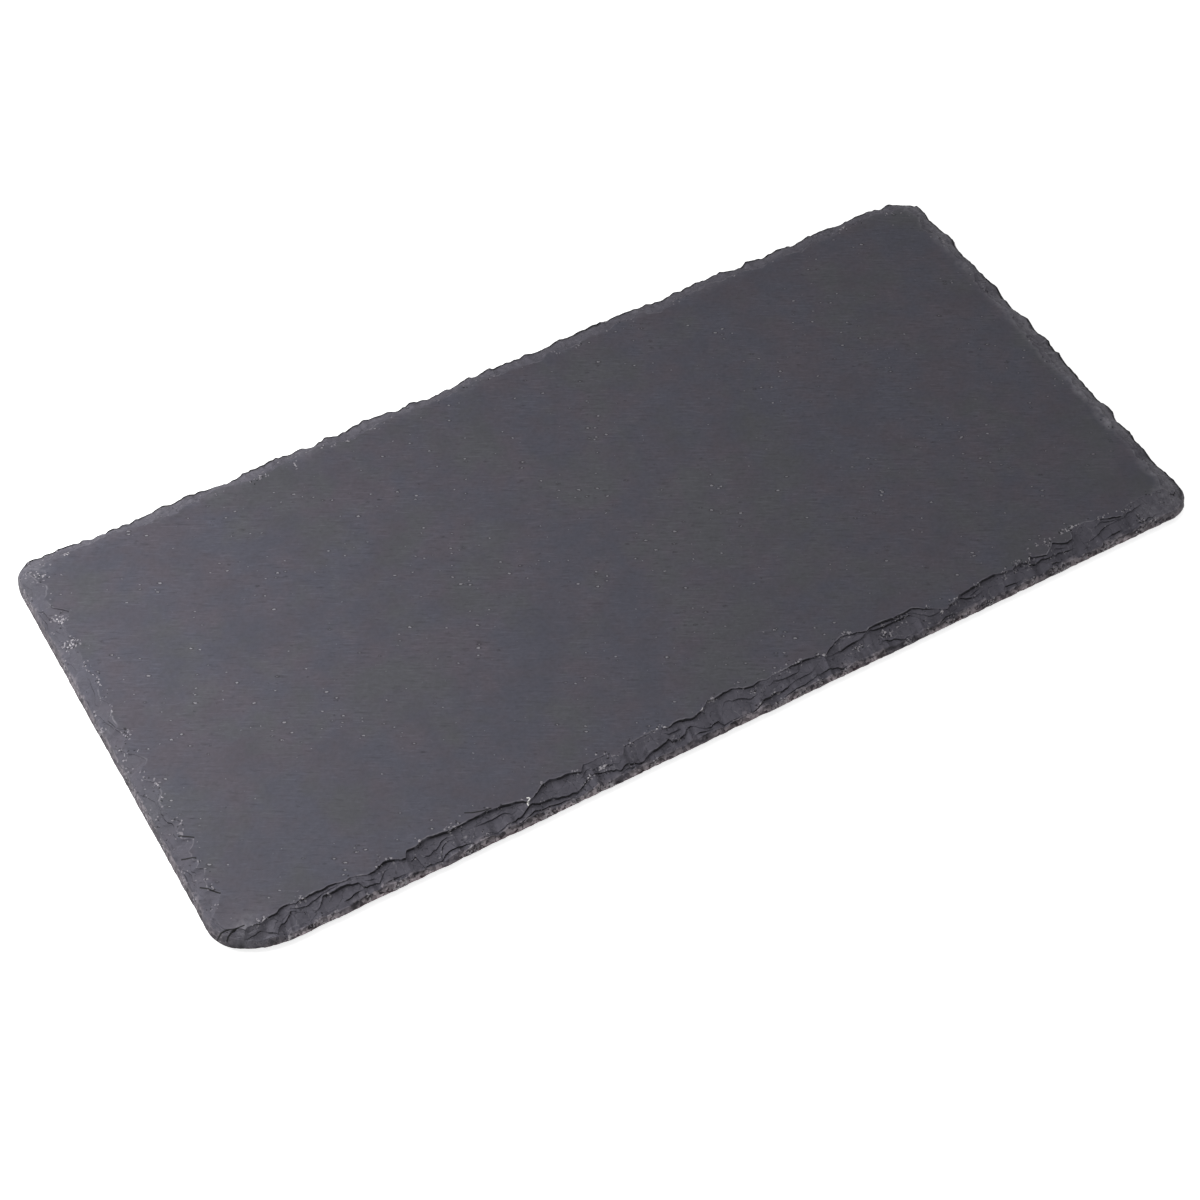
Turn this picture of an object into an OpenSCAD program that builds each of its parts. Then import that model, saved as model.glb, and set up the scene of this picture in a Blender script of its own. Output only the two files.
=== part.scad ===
// Slate serving board: a riven slab with hand-dressed edges on four glued foot pads.
// Millimetres. The origin is under the middle of the board, on the plane that the feet stand on,
// +X runs to the right along the long sides, +Y to the back and +Z up.

/* [Board] */
// Length of the slate along its long sides
board_length = 300; // [200:1:400]
// Width of the slate along its short sides
board_width = 145; // [110:1:250]
// Thickness of the slate between its two split faces
board_thickness = 5; // [4:0.25:8]

/* [Trimmed corners] */
// Reach of the front left corner along the long side
front_left_long = 22; // [6:0.5:30]
// Reach of the front left corner along the short side
front_left_short = 13; // [6:0.5:30]
// Reach of the front right corner along the long side
front_right_long = 9; // [6:0.5:30]
// Reach of the front right corner along the short side
front_right_short = 9; // [6:0.5:30]
// Reach of the back right corner along the long side
back_right_long = 16; // [6:0.5:30]
// Reach of the back right corner along the short side
back_right_short = 12; // [6:0.5:30]
// Reach of the back left corner along the long side
back_left_long = 6.5; // [6:0.5:30]
// Reach of the back left corner along the short side
back_left_short = 10; // [6:0.5:30]

/* [Dressed edge] */
// Height of the steep broken band at the foot of the edge
band_height = 1.9; // [1:0.1:2.5]
// Run of the broken band, how far its top lies in from its foot
band_run = 0.9; // [0.4:0.1:1.4]
// Depth of the crumbs in the broken band
crumb_depth = 0.25; // [0.05:0.05:0.5]
// Reach of the lip where two scars meet, on all sides but the left
lip_cusp = 5.2; // [3.5:0.1:5.5]
// Reach of the lip where two scars meet on the left side
left_cusp = 1.6; // [1.2:0.1:5.5]
// How far the torn lines of the lip and the ledge wander
torn_depth = 0.4; // [0:0.05:0.6]
// Run of the steep riser behind each ledge
riser_run = 0.2; // [0.1:0.05:0.4]
// Pitch of the lip scars on the right and back sides
lip_pitch = 11; // [8:0.5:20]
// Pitch of the ledge scars on the right and back sides
ledge_pitch = 9; // [7:0.5:16]
// Distance between neighbouring profiles along the edge
edge_step = 1.5; // [1.2:0.1:4]

/* [Feet] */
// Diameter of a foot pad
foot_diameter = 12; // [8:0.5:20]
// Height of a foot pad
foot_height = 1.8; // [1:0.1:5]
// Width of the worn bevel round the lower rim of a foot pad
foot_bevel = 0.3; // [0.1:0.05:0.5]
// Distance of a foot's middle from each side of the slate
foot_inset = 22; // [16:0.5:45]
// Thickness of the adhesive film between a foot pad and the slate
film_thickness = 0.2; // [0.1:0.05:0.5]
// Distance of the film's rim inside the foot pad's rim
film_margin = 0.3; // [0.1:0.1:1]

/* [Hidden] */

slate_colour = "#55535a";
foot_colour = "#1d1d1f";
film_colour = "#d8d6cc";

slate_bottom = foot_height + film_thickness;

// Inset of the flat field of the upper face, clear of every scar, and its corner radius
field_inset = 12;
field_corner = 3;
// How far the untrimmed edge stands past the two split faces
trim = 0.4;
// Share of the lip's reach that is left at the middle of each corner
corner_lip = [0.52, 0.8, 0.8, 0.8];
// How soon the profiles stand square to the side again beyond a small corner
lean_fade = 12;
// Roundness of a scar along the side, from 1 for a notch to 2 for an arc
scar_round = 1.4;
// Least height of a ledge, and least distance between two rows of the profile
least_ledge = 0.12;
least_tread = 0.35;

// Sides run counter-clockwise from above: front, right, back, left. Corner k starts side k.
corner_long = [front_left_long, front_right_long, back_right_long, back_left_long];
corner_short = [front_left_short, front_right_short, back_right_short, back_left_short];

function side_length(k) = k % 2 == 0 ? board_length : board_width;
function side_depth(k) = k % 2 == 0 ? board_width : board_length;
function reach_along(k, corner) = k % 2 == 0 ? corner_long[corner] : corner_short[corner];
function reach_across(k, corner) = k % 2 == 0 ? corner_short[corner] : corner_long[corner];

// Scars on the front and left sides, one row for each flake that was struck off:
// [start, deepest point, end, reach in from the outline, height of the ledge it left].
// They were laid out on sides of these lengths, from the left end and from the front end.
laid_long = 300;
laid_short = 145;
front_lip = [
    [-3, 4, 13.5, 7.5, 0.8], [11.5, 19, 24, 7, 0.7], [20, 29, 41.5, 6.9, 0.6], [41, 47, 53, 5.9, 1],
    [52, 58.5, 73, 7.3, 1.1], [69, 76.5, 87.5, 7.1, 0.9], [88, 94.5, 105, 7.3, 1],
    [104, 109, 121, 6.7, 0.4], [119, 126, 131, 7, 0.5], [129.5, 134, 142, 6.2, 0.8],
    [139.5, 147, 155, 8.3, 0.8], [151, 156, 164, 6.8, 0.9], [167, 172, 181, 6.9, 0.7],
    [178.5, 186, 195, 8.4, 0.5], [193, 198, 205, 7.4, 0.9], [203, 206.5, 214, 7, 0.8],
    [217, 231, 246, 5.4, 1.1], [245.5, 247, 252, 5.9, 0.9], [252, 254.5, 261, 6.3, 0.8],
    [259, 265, 270, 8.4, 0.4], [268, 272, 281, 8, 0.6], [278, 286, 300, 7.8, 0.4]];
front_ledge = [
    [4, 9, 16, 3.5, 0.7], [14, 20.5, 23, 5.2, 0.8], [25, 30, 42, 5.8, 1], [36.5, 40, 46, 3.5, 0.9],
    [52, 55, 62, 4.4, 0.5], [61, 64, 71, 4.4, 0.6], [72, 78, 82, 2.4, 0.6], [80, 88, 96, 3.6, 0.9],
    [94, 98.5, 102, 2.8, 0.8], [100, 109, 114, 3.8, 0.7], [112, 119, 124, 2.9, 0.8],
    [123, 129, 132, 4.2, 0.8], [131, 136, 140, 4.3, 0.7], [139, 144, 148, 3.1, 0.8],
    [155, 161, 168, 3.4, 0.8], [168, 171, 175, 3.9, 0.7], [177, 187, 193, 6, 0.8],
    [193, 198, 207, 6.1, 0.8], [205, 208, 213, 3.6, 0.6], [213, 220, 230, 4.2, 0.8],
    [236, 240, 244, 2.6, 0.6], [243, 247, 253, 4.6, 0.8], [252, 255.5, 261, 4, 0.9],
    [264, 274, 281, 5.4, 0.7], [277, 281, 288, 2.8, 0.8]];
left_lip = [
    [-4, 3.8, 7.4, 5.5, 0.9],
    [7.5, 34, 95, 5.5, 0.1], [50, 104, 152, 5.5, 0.1], [12, 18.5, 21.5, 6.9, 0.4], [20, 27, 29, 6, 0.2],
    [25, 30.3, 31.3, 6.2, 0.35], [31, 36.5, 39.5, 8, 0.4], [38.5, 43, 47, 6.9, 0.2], [46, 56, 62, 6.5, 0.15],
    [60, 65, 71, 6.7, 0.15], [70, 75.5, 80, 6.7, 0.2], [79, 86, 91, 6, 0.15], [90, 96, 104, 6.3, 0.15],
    [103, 110, 116, 6.5, 0.2], [115, 121, 126, 8, 0.3], [125, 133, 143, 6, 0.15]];
left_ledge = [
    [20, 26, 33, 2.6, 0.2], [33, 38, 46, 2.4, 0.15], [46, 53, 58, 3.5, 0.2], [62, 68, 75, 2.3, 0.15],
    [75, 79, 87, 3.2, 0.2], [86, 91, 98, 2.4, 0.15], [98, 102, 108, 2.3, 0.15], [108, 112, 117, 3.4, 0.2],
    [116, 121, 127, 3.8, 0.25], [128, 133, 140, 2.2, 0.15]];
// Bites out of the outline of the right and back sides, with no ledge of their own
right_bite = [
    [10.5, 20.5, 33.5, 0.8, 0], [33.5, 36.5, 39.5, 0.8, 0], [38.5, 50.5, 57.5, 0.9, 0],
    [73.5, 75.5, 79.5, 0.4, 0], [84.5, 90.5, 98.5, 1.1, 0], [94.5, 108.5, 115.5, 1, 0],
    [108.5, 114.5, 122.5, 1.1, 0], [121.5, 132.5, 139, 1.4, 0]];
back_bite = [
    [2.5, 27.5, 53, 0.7, 0], [45, 63, 83, 0.8, 0], [89, 93, 97, 0.7, 0], [98, 101, 105, 0.4, 0],
    [117.5, 132.5, 139.5, 0.7, 0], [141.5, 145.5, 149.5, 0.5, 0], [153.5, 161.5, 173.5, 0.4, 0],
    [199, 208, 226, 0.7, 0], [228, 253, 266.5, 0.8, 0], [264.5, 272.5, 294.5, 0.7, 0]];

// Repeatable value from 0 to 1 for item i of a row
function chance(i, row) = let (v = 43.7 * (1 + sin(i * 137.5 + row * 71.3))) v - floor(v);
function between(low, high, share) = low + (high - low) * share;

// Scars that follow one another along side k at about the given pitch
function scar_row(k, pitch, reach, ledge, row) =
    let (count = round(side_length(k) / pitch), width = side_length(k) / count)
    [for (i = [0 : count - 1])
        [width * (i - between(0.1, 0.8, chance(i, row))),
         width * (i + between(0.2, 0.8, chance(i, row + 1))),
         width * (i + between(1.1, 1.8, chance(i, row + 2))),
         between(reach[0], reach[1], chance(i, row + 3)),
         between(ledge[0], ledge[1], chance(i, row + 4))]];

lip_reach = [5.2, 7.8];
lip_ledge = [0.4, 1];
ledge_reach = [2.2, 4.4];
ledge_ledge = [0.4, 0.9];
lip_cusps = [lip_cusp, lip_cusp, lip_cusp, left_cusp];
lip_scars = [front_lip, scar_row(1, lip_pitch, lip_reach, lip_ledge, 1),
             scar_row(2, lip_pitch, lip_reach, lip_ledge, 2), left_lip];
ledge_scars = [front_ledge, scar_row(1, ledge_pitch, ledge_reach, ledge_ledge, 11),
               scar_row(2, ledge_pitch, ledge_reach, ledge_ledge, 12), left_ledge];
bites = [[], right_bite, back_bite, []];
scar_scale = [laid_long / board_length, 1, 1, laid_short / board_width];
bite_scale = [1, laid_short / board_width, laid_long / board_length, 1];

// Share of a scar's full size at mark m along its side: 1 at its deepest point, 0 outside it
function scar_share(scar, m) =
    let (t = m < scar[1] ? (scar[1] - m) / (scar[1] - scar[0]) : (m - scar[1]) / (scar[2] - scar[1]))
    t >= 1 ? 0 : 1 - pow(t, scar_round);
function scar_reach(scars, m, cusp) =
    max([cusp, for (scar = scars) cusp + (scar[3] - cusp) * scar_share(scar, m)]);
function scar_ledge(scars, m) =
    max([least_ledge, for (scar = scars) scar[4] * sqrt(scar_share(scar, m))]);

// Marks are counted from the left end of the long sides and from the front end of the short ones
function mark_of(k, along) = k < 2 ? along : side_length(k) - along;

// Profile of the edge at mark m of side k: rows of [reach in from the outline, height], going up
function edge_profile(k, m, lip_share, station) =
    let (bite = scar_reach(bites[k], m * bite_scale[k], 0),
         mark = m * scar_scale[k],
         band_foot = bite + crumb_depth * chance(station, 31),
         band_in = bite + band_run + crumb_depth * chance(station, 32),
         band_top = band_height * between(0.8, 1.2, chance(station, 33)),
         torn_lip = torn_depth * between(-1, 1, chance(station, 34)),
         torn_ledge = torn_depth * between(-1, 1, chance(station, 35)),
         struck_lip = scar_reach(lip_scars[k], mark, lip_cusps[k]) * lip_share,
         lip = max(struck_lip + torn_lip, band_in + 3 * least_tread),
         lip_foot = board_thickness - scar_ledge(lip_scars[k], mark),
         struck_ledge = scar_reach(ledge_scars[k], mark, 0) * lip_share,
         ledge = min(max(struck_ledge + torn_ledge, band_in + least_tread), lip - least_tread),
         rise = scar_ledge(ledge_scars[k], mark),
         slope = (lip_foot - band_top) / (lip - band_in),
         level = band_top + slope * (ledge - band_in),
         ledge_foot = max(level - rise / 2, band_top + least_ledge / 2),
         ledge_top = min(level + rise / 2, lip_foot - least_ledge / 2))
    [[band_foot, -trim],
     [band_foot, 0],
     [band_in, band_top],
     [ledge, ledge_foot],
     [ledge + riser_run, max(ledge_top, ledge_foot + least_ledge / 2)],
     [lip, lip_foot],
     [lip + riser_run, board_thickness + trim]];

// Stations of side k as [outline point, field point, share of the lip's reach], with the points in the
// side's own frame: along it and inward
function field_start(reach) = max(field_inset + field_corner, reach);
function corner_steps(k, corner) =
    max(3, ceil((reach_along(k, corner) + reach_across(k, corner)) * PI / 8 / edge_step));
function corner_station(k, corner, bend, ends) =
    let (angle = 45 * bend,
         along = reach_along(k, corner),
         across = reach_across(k, corner),
         start = field_start(along),
         rise = field_start(across),
         outline = [along * (1 - sin(angle)), across * (1 - cos(angle))],
         field = [start - (start - field_inset) * sin(angle), rise - (rise - field_inset) * cos(angle)],
         lip_share = between(1, corner_lip[corner], bend * bend),
         s = side_length(k))
    ends ? [[s - outline[0], outline[1]], [s - field[0], field[1]], lip_share] : [outline, field, lip_share];
function straight_station(along, lead, trail, share) =
    [[along, 0], [along + lead * pow(1 - share, lean_fade) - trail * pow(share, lean_fade), field_inset], 1];
function side_stations(k) =
    let (next = (k + 1) % 4,
         first = reach_along(k, k),
         last = side_length(k) - reach_along(k, next),
         lead = field_start(first) - first,
         trail = field_start(reach_along(k, next)) - reach_along(k, next),
         steps_in = corner_steps(k, k),
         steps_out = corner_steps(k, next),
         steps = ceil((last - first) / edge_step))
    concat(
        [for (i = [0 : steps_in - 1]) corner_station(k, k, 1 - i / steps_in, false)],
        [for (i = [0 : steps]) straight_station(between(first, last, i / steps), lead, trail, i / steps)],
        [for (i = [1 : steps_out - 1]) corner_station(k, next, i / steps_out, true)]);

// Board position of a point given in the frame of side k
function on_board(k, p) =
    let (x = p[0] - side_length(k) / 2, y = p[1] - side_depth(k) / 2)
    [x * cos(90 * k) - y * sin(90 * k), x * sin(90 * k) + y * cos(90 * k)];

stations = [for (k = [0 : 3]) for (s = side_stations(k)) [k, s]];
count = len(stations);
profiles = [for (i = [0 : count - 1]) let (k = stations[i][0], s = stations[i][1])
    edge_profile(k, mark_of(k, s[0][0]), s[2], i)];
rows = len(profiles[0]);

// Point of one row of the profile at one station
function edge_point(i, row) =
    let (k = stations[i][0], s = stations[i][1], share = profiles[i][row][0] / field_inset)
    concat(on_board(k, s[0] + (s[1] - s[0]) * share), profiles[i][row][1]);
function field_point(i, z) = concat(on_board(stations[i][0], stations[i][1][1]), z);

// Two triangles between neighbouring stations on two rings of points
function band_faces(lower, upper) =
    [for (i = [0 : count - 1]) let (j = (i + 1) % count)
        each [[lower + i, upper + i, upper + j], [lower + i, upper + j, lower + j]]];

// The dressed edge all round, standing a little past the two split faces
module dressed_block() {
    under = rows * count;
    over = under + count;
    middle = over + count;
    points = concat(
        [for (row = [0 : rows - 1]) for (i = [0 : count - 1]) edge_point(i, row)],
        [for (i = [0 : count - 1]) field_point(i, -trim)],
        [for (i = [0 : count - 1]) field_point(i, board_thickness + trim)],
        [[0, 0, -trim], [0, 0, board_thickness + trim]]);
    faces = concat(
        [for (row = [0 : rows - 2]) each band_faces(row * count, (row + 1) * count)],
        band_faces(under, 0),
        band_faces((rows - 1) * count, over),
        [for (i = [0 : count - 1]) [middle, under + i, under + (i + 1) % count]],
        [for (i = [0 : count - 1]) [middle + 1, over + (i + 1) % count, over + i]]);
    polyhedron(points, faces);
}

// One slab of stone: the dressed block between its two split faces
module slate() {
    color(slate_colour)
    translate([0, 0, slate_bottom])
    intersection() {
        dressed_block();
        translate([-board_length, -board_width, 0])
        cube([2 * board_length, 2 * board_width, board_thickness]);
    }
}

module at_foot(right, back) {
    translate([right * (board_length / 2 - foot_inset), back * (board_width / 2 - foot_inset), 0])
    children();
}

// Die-cut pad with a small bevel worn round its lower rim
module foot(right, back) {
    radius = foot_diameter / 2;
    color(foot_colour)
    at_foot(right, back)
    rotate_extrude($fn = 96)
    polygon([[0, 0], [radius - foot_bevel, 0], [radius, foot_bevel], [radius, foot_height],
             [0, foot_height]]);
}

// Disc of adhesive film that holds a pad on the slate
module film(right, back) {
    color(film_colour)
    at_foot(right, back)
    translate([0, 0, foot_height])
    cylinder(h = film_thickness, d = foot_diameter - 2 * film_margin, $fn = 96);
}

slate();
foot(-1, -1);  // foot_front_left
foot(1, -1);  // foot_front_right
foot(1, 1);  // foot_back_right
foot(-1, 1);  // foot_back_left
film(-1, -1);  // film_front_left
film(1, -1);  // film_front_right
film(1, 1);  // film_back_right
film(-1, 1);  // film_back_left
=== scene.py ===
"""Looks of a slate serving board: a riven slab with hand-dressed edges on four glued foot pads.

The slab is one grid wrapped round the board. Its columns stand round the outline, and its rows run from the
middle of the underside out over the dressed edge and in again to the middle of the upper face. Sizes are in
millimetres until a mesh is made.
"""

import logging
import math
from collections.abc import Callable
from dataclasses import dataclass
from enum import Enum
from functools import partial
from itertools import product

import bmesh
import bpy
import numpy as np
from mathutils import Matrix, Vector, noise


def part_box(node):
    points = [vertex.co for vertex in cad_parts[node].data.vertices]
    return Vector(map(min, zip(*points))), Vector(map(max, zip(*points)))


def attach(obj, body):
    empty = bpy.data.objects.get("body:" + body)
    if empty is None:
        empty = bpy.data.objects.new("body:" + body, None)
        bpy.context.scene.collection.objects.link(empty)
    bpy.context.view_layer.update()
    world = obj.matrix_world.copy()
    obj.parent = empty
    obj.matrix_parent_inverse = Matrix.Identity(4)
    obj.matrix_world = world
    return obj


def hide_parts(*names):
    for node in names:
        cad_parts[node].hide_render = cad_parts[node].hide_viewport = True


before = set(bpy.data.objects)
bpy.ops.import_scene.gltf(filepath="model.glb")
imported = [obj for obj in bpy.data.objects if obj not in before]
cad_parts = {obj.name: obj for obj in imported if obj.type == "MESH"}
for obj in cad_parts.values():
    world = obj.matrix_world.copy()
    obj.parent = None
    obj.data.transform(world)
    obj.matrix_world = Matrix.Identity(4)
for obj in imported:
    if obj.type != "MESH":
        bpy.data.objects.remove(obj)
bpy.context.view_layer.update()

LOG = logging.getLogger("slate_board")
METRE = 1000.0
BODY = "root"

Tree, Node, Socket = bpy.types.NodeTree, bpy.types.Node, bpy.types.NodeSocket
Adder = Callable[..., Node]

# Sockets of a Mix node that mixes colours
FACTOR, COLOUR_A, COLOUR_B = 0, 6, 7

# A coat over what lies below it: how much of it shows, its colour and how it blends
Coat = tuple[Node | Socket | float, Node | tuple[float, ...], str]

# One row for each flake that was struck off the edge: where it starts, bites deepest and ends along its side,
# how far it reaches in from the outline, and the height of the ledge that it left.
ScarRows = tuple[tuple[float, float, float, float, float], ...]

LEFT_LIP: ScarRows = (
    (-4, 3.8, 7.4, 5, 0.25), (7.5, 34, 95, 5.5, 0.1), (50, 104, 152, 5.5, 0.1), (12, 18.5, 21.5, 6.9, 0.1),
    (20, 27, 29, 6, 0.2), (25, 30.3, 31.3, 6.2, 0.1), (31, 36.5, 39.5, 8, 0.12), (38.5, 43, 47, 6.9, 0.2),
    (46, 56, 62, 6.5, 0.15), (60, 65, 71, 6.7, 0.15), (70, 75.5, 80, 6.7, 0.2), (79, 86, 91, 6, 0.15),
    (90, 96, 104, 6.3, 0.15), (103, 110, 116, 6.5, 0.2), (115, 121, 126, 8, 0.3), (125, 133, 143, 6, 0.15))
LEFT_LEDGE: ScarRows = (
    (20, 26, 33, 2.6, 0.2), (33, 38, 46, 2.4, 0.15), (46, 53, 58, 3.5, 0.2), (62, 68, 75, 2.3, 0.15),
    (75, 79, 87, 3.2, 0.2), (86, 91, 98, 2.4, 0.15), (98, 102, 108, 2.3, 0.15), (108, 112, 117, 3.4, 0.2),
    (116, 121, 127, 3.8, 0.25), (128, 133, 140, 2.2, 0.15))
RIGHT_BITE: ScarRows = (
    (9.5, 12, 20, 0.7, 0), (10.5, 20.5, 33.5, 0.8, 0), (33.5, 36.5, 39.5, 0.8, 0), (38.5, 50.5, 57.5, 0.9, 0),
    (73.5, 75.5, 79.5, 0.4, 0), (84.5, 90.5, 98.5, 1.1, 0), (94.5, 108.5, 115.5, 1, 0),
    (108.5, 114.5, 122.5, 1.1, 0), (121.5, 132.5, 139, 1.4, 0))
BACK_BITE: ScarRows = (
    (2.5, 27.5, 53, 0.7, 0), (45, 63, 83, 0.8, 0), (89, 93, 97, 0.7, 0), (98, 101, 105, 0.4, 0),
    (117.5, 132.5, 139.5, 0.7, 0), (141.5, 145.5, 149.5, 0.5, 0), (153.5, 161.5, 173.5, 0.4, 0),
    (199, 208, 226, 0.7, 0), (228, 253, 266.5, 0.8, 0), (264.5, 272.5, 294.5, 0.7, 0))

# One row for each stroke of a line along the front: the height of its step, then places along it as a mark
# along the side and a reach in from the outline.
StrokeRows = tuple[tuple[float, tuple[tuple[float, float], ...]], ...]

FRONT_LIP: StrokeRows = (
    (0.45, ((6.4, 6.6), (8, 5.8), (9.6, 5.2))), (0.9, ((10.8, 6.6), (14, 6.8), (18.5, 7.2))),
    (0.7, ((22.5, 6.6), (26.7, 6.9), (31, 7.2), (33.5, 6.9))), (0.2, ((34.5, 6.8), (38, 6.1), (41, 5.2))),
    (0.9, ((42, 5.1), (44.5, 5.5), (47.2, 6.3), (48.5, 5.9), (52, 4.5))),
    (1, ((53, 6.5), (55.5, 6.5), (57.2, 7.2), (59.7, 7.5), (62.5, 7.1), (65, 6.5), (70, 6.3))),
    (1, ((71, 6.7), (74, 6.8), (76.7, 7.1), (78.3, 6.7), (81, 6.7), (83.3, 5.9), (85.8, 5), (86.7, 4.2))),
    (0.9, ((89.3, 4.6), (90.8, 5.7), (92.5, 6.8), (94.6, 7.5), (96.3, 6.8), (100, 6.5), (103.5, 5.2))),
    (0.4, ((105, 7.1), (107.7, 6.5))), (0.2, ((109, 7), (112, 6.6))), (0.5, ((113.7, 5.2), (115.4, 4.4))),
    (0.15, ((117, 6.8), (121, 7), (126, 7.2))),
    (0.9, ((130.6, 6.3), (133.3, 6.5), (135.4, 6.3), (136.7, 5.7), (138.7, 5.7), (141, 6.5))),
    (0.8, ((143.3, 8.2), (145, 8), (147.5, 8.4), (151.2, 8.6))),
    (0.9, ((153, 7.9), (153.8, 7.1), (156, 6.7), (158.5, 7))), (0.15, ((160, 6.9), (166, 6.8))),
    (0.8, ((168.3, 6.7), (170.4, 6.9), (173.3, 6.9), (175.4, 6.5), (177.5, 6.1))),
    (0.5, ((178.3, 5), (180, 6.2), (181.7, 7.1), (183.3, 8), (185.4, 8.6), (187.5, 8.4),
           (189.6, 7.7), (192.5, 7.1))),
    (0.9, ((193.7, 7.5), (196.7, 7.4), (199.2, 7.3), (201.7, 6.7), (204.2, 6.9), (207, 7.2))),
    (0.6, ((207.6, 7.3), (209.2, 6.3), (210.4, 5), (212.5, 4.2))),
    (0.9, ((215.8, 2.2), (217.5, 3), (220, 3.6), (221.7, 4.8), (223.7, 5), (226.7, 5), (229.2, 5.4),
           (232, 5.7), (234.6, 5.5), (237.5, 5))),
    (1, ((238.7, 4.8), (240.4, 5.4), (242, 5.4), (243.5, 4.7), (245, 4.3))),
    (0.9, ((246.2, 5.7), (248.3, 4.8), (250.6, 4))),
    (0.9, ((254.6, 6.7), (256.7, 5.7), (258.3, 5), (260.4, 5.4))),
    (0.15, ((262, 8.4), (267, 8.4))), (0.7, ((272, 7.3), (274.2, 6.3), (276.3, 5.7), (278, 5.2))),
    (0.1, ((281, 7.4), (286, 7.6), (294, 7.4))))
FRONT_LEDGE: StrokeRows = (
    (0.6, ((6.2, 2.6), (8, 3), (9.8, 3.4))), (0.4, ((11, 3.2), (12.5, 2.6), (13.6, 1.9))),
    (0.8, ((14.1, 1.4), (14.5, 2.8), (15.5, 4), (17.4, 4.6), (19.2, 5.4))),
    (0.4, ((25.7, 2.8), (27.2, 3.8), (28.4, 4.7))),
    (0.9, ((28.9, 5.4), (31.3, 5.4), (33.4, 5.7), (35.5, 5.3), (38.6, 4.7))),
    (0.7, ((39.2, 3.2), (40, 2.9), (42.2, 2.6), (43.2, 2.2))), (0.4, ((44.3, 3.1), (46, 4.4))),
    (0.6, ((53.2, 4.1), (55, 4.5))), (0.7, ((55.3, 1.2), (57.2, 1.6), (60.4, 1.2))),
    (0.4, ((60.8, 2.4), (62, 4.1), (64, 4.5))), (0.6, ((76, 1.5), (79, 1.6))),
    (0.7, ((81.7, 2), (83.3, 2.5), (85, 2.8), (86.7, 3.3), (88.1, 3.6), (89.6, 3.1), (91.7, 3.3), (93.3, 3.1),
           (95.8, 2.6), (98.3, 2.4), (100.4, 2.2), (102, 2.5), (104.2, 3.1))),
    (0.7, ((107, 3.6), (109.2, 3.3), (112.5, 2.6))), (0.6, ((113, 2), (115.8, 2.5), (118, 2.2), (120, 1.8))),
    (0.9, ((120.3, 1.8), (122, 2.5), (124.6, 2.8), (126.7, 3.3), (129, 4.2))),
    (0.8, ((129.5, 3.1), (132, 3), (133.7, 3.6), (136, 4.2))),
    (0.8, ((139.6, 2), (141.7, 2.5), (143.5, 2.9))),
    (0.5, ((144.5, 1.3), (146.5, 1.5), (149, 1.1))),
    (0.8, ((154, 1.3), (156.2, 2), (158, 2.8), (160.8, 3.1), (163.7, 2.8), (165.2, 2.9))),
    (0.8, ((169.4, 3.8), (172.3, 3.8))),
    (0.7, ((181, 5.4), (183.3, 5.8), (186.2, 6), (189.6, 6.3), (192, 6.6))),
    (0.8, ((193.9, 6.6), (196.7, 6.5), (200.8, 6.4), (203.3, 6.1), (206.2, 6.1))),
    (0.5, ((210.8, 1.3), (213.5, 1.7))), (0.6, ((221, 4.1), (222.5, 3.5), (225, 3.1), (227.5, 3.1))),
    (0.8, ((244.5, 4.3), (246.7, 4), (249.6, 3.7), (251.2, 3.7))),
    (0.8, ((253.7, 3.8), (255, 4), (256.7, 3.4), (258, 3))),
    (0.4, ((265.4, 3.6), (268.3, 4.3), (270.8, 4.8), (273.3, 5.2))), (0.5, ((276, 4.9), (279, 4.6))))

# Hairline cracks, whose black is painted shade, and a thread of white quartz, by marks from the left end and
# the front of the outline
CourseRows = tuple[tuple[tuple[float, float], ...], ...]

CRACKS: CourseRows = (
    ((71.3, 9.2), (73.2, 8.2), (75.4, 7.5), (77.8, 7.1)), ((0.9, 9), (3.5, 8.2), (5.6, 7.3), (8, 7.1)),
    ((2.8, 6.8), (4.4, 7.1), (5.8, 7.2)), ((6.8, 18.6), (3.2, 23)), ((5.8, 31.2), (2.6, 33)),
    ((7.9, 37), (4.7, 39.4)))
THREADS: CourseRows = (((87.4, 5.3), (87.8, 5.1), (87.9, 4.7), (87.2, 4.3), (86.8, 4.1), (86.8, 3.6)),)

# Bruises where the hammer crushed the stone to pale powder: along the side, in from the outline, half length,
# half width and strength.
FleckRows = tuple[tuple[float, float, float, float, float], ...]

FRONT_FLECKS: FleckRows = (
    (105, 3.4, 1.6, 0.5, 1.1), (109, 4.6, 2.4, 0.5, 1.1), (110, 8, 1, 0.4, 0.9),
    (127.5, 7.5, 1.6, 0.4, 1.2), (141, 6.8, 0.8, 0.4, 1.2), (156, 5.3, 2, 0.4, 1.3),
    (171, 7.5, 0.7, 0.5, 1.2), (176.5, 6.8, 0.7, 0.5, 1.2), (178.5, 5.8, 0.6, 0.6, 1.3),
    (188, 4.6, 2, 0.5, 1.1), (198, 5, 2, 0.5, 1.3), (211.5, 5.3, 0.7, 0.4, 1.2), (214.3, 2.8, 0.6, 0.4, 1.2),
    (220, 7.5, 0.8, 0.4, 0.9),
    (251, 8.2, 3.5, 0.4, 1.2), (262, 8.8, 4.5, 0.4, 1.2), (273, 7.6, 2, 0.4, 1.2), (279, 6.4, 2.4, 0.4, 1.2),
    (282, 2, 0.8, 1.6, 1.3), (285, 1.1, 1.4, 0.5, 1.2))
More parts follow.
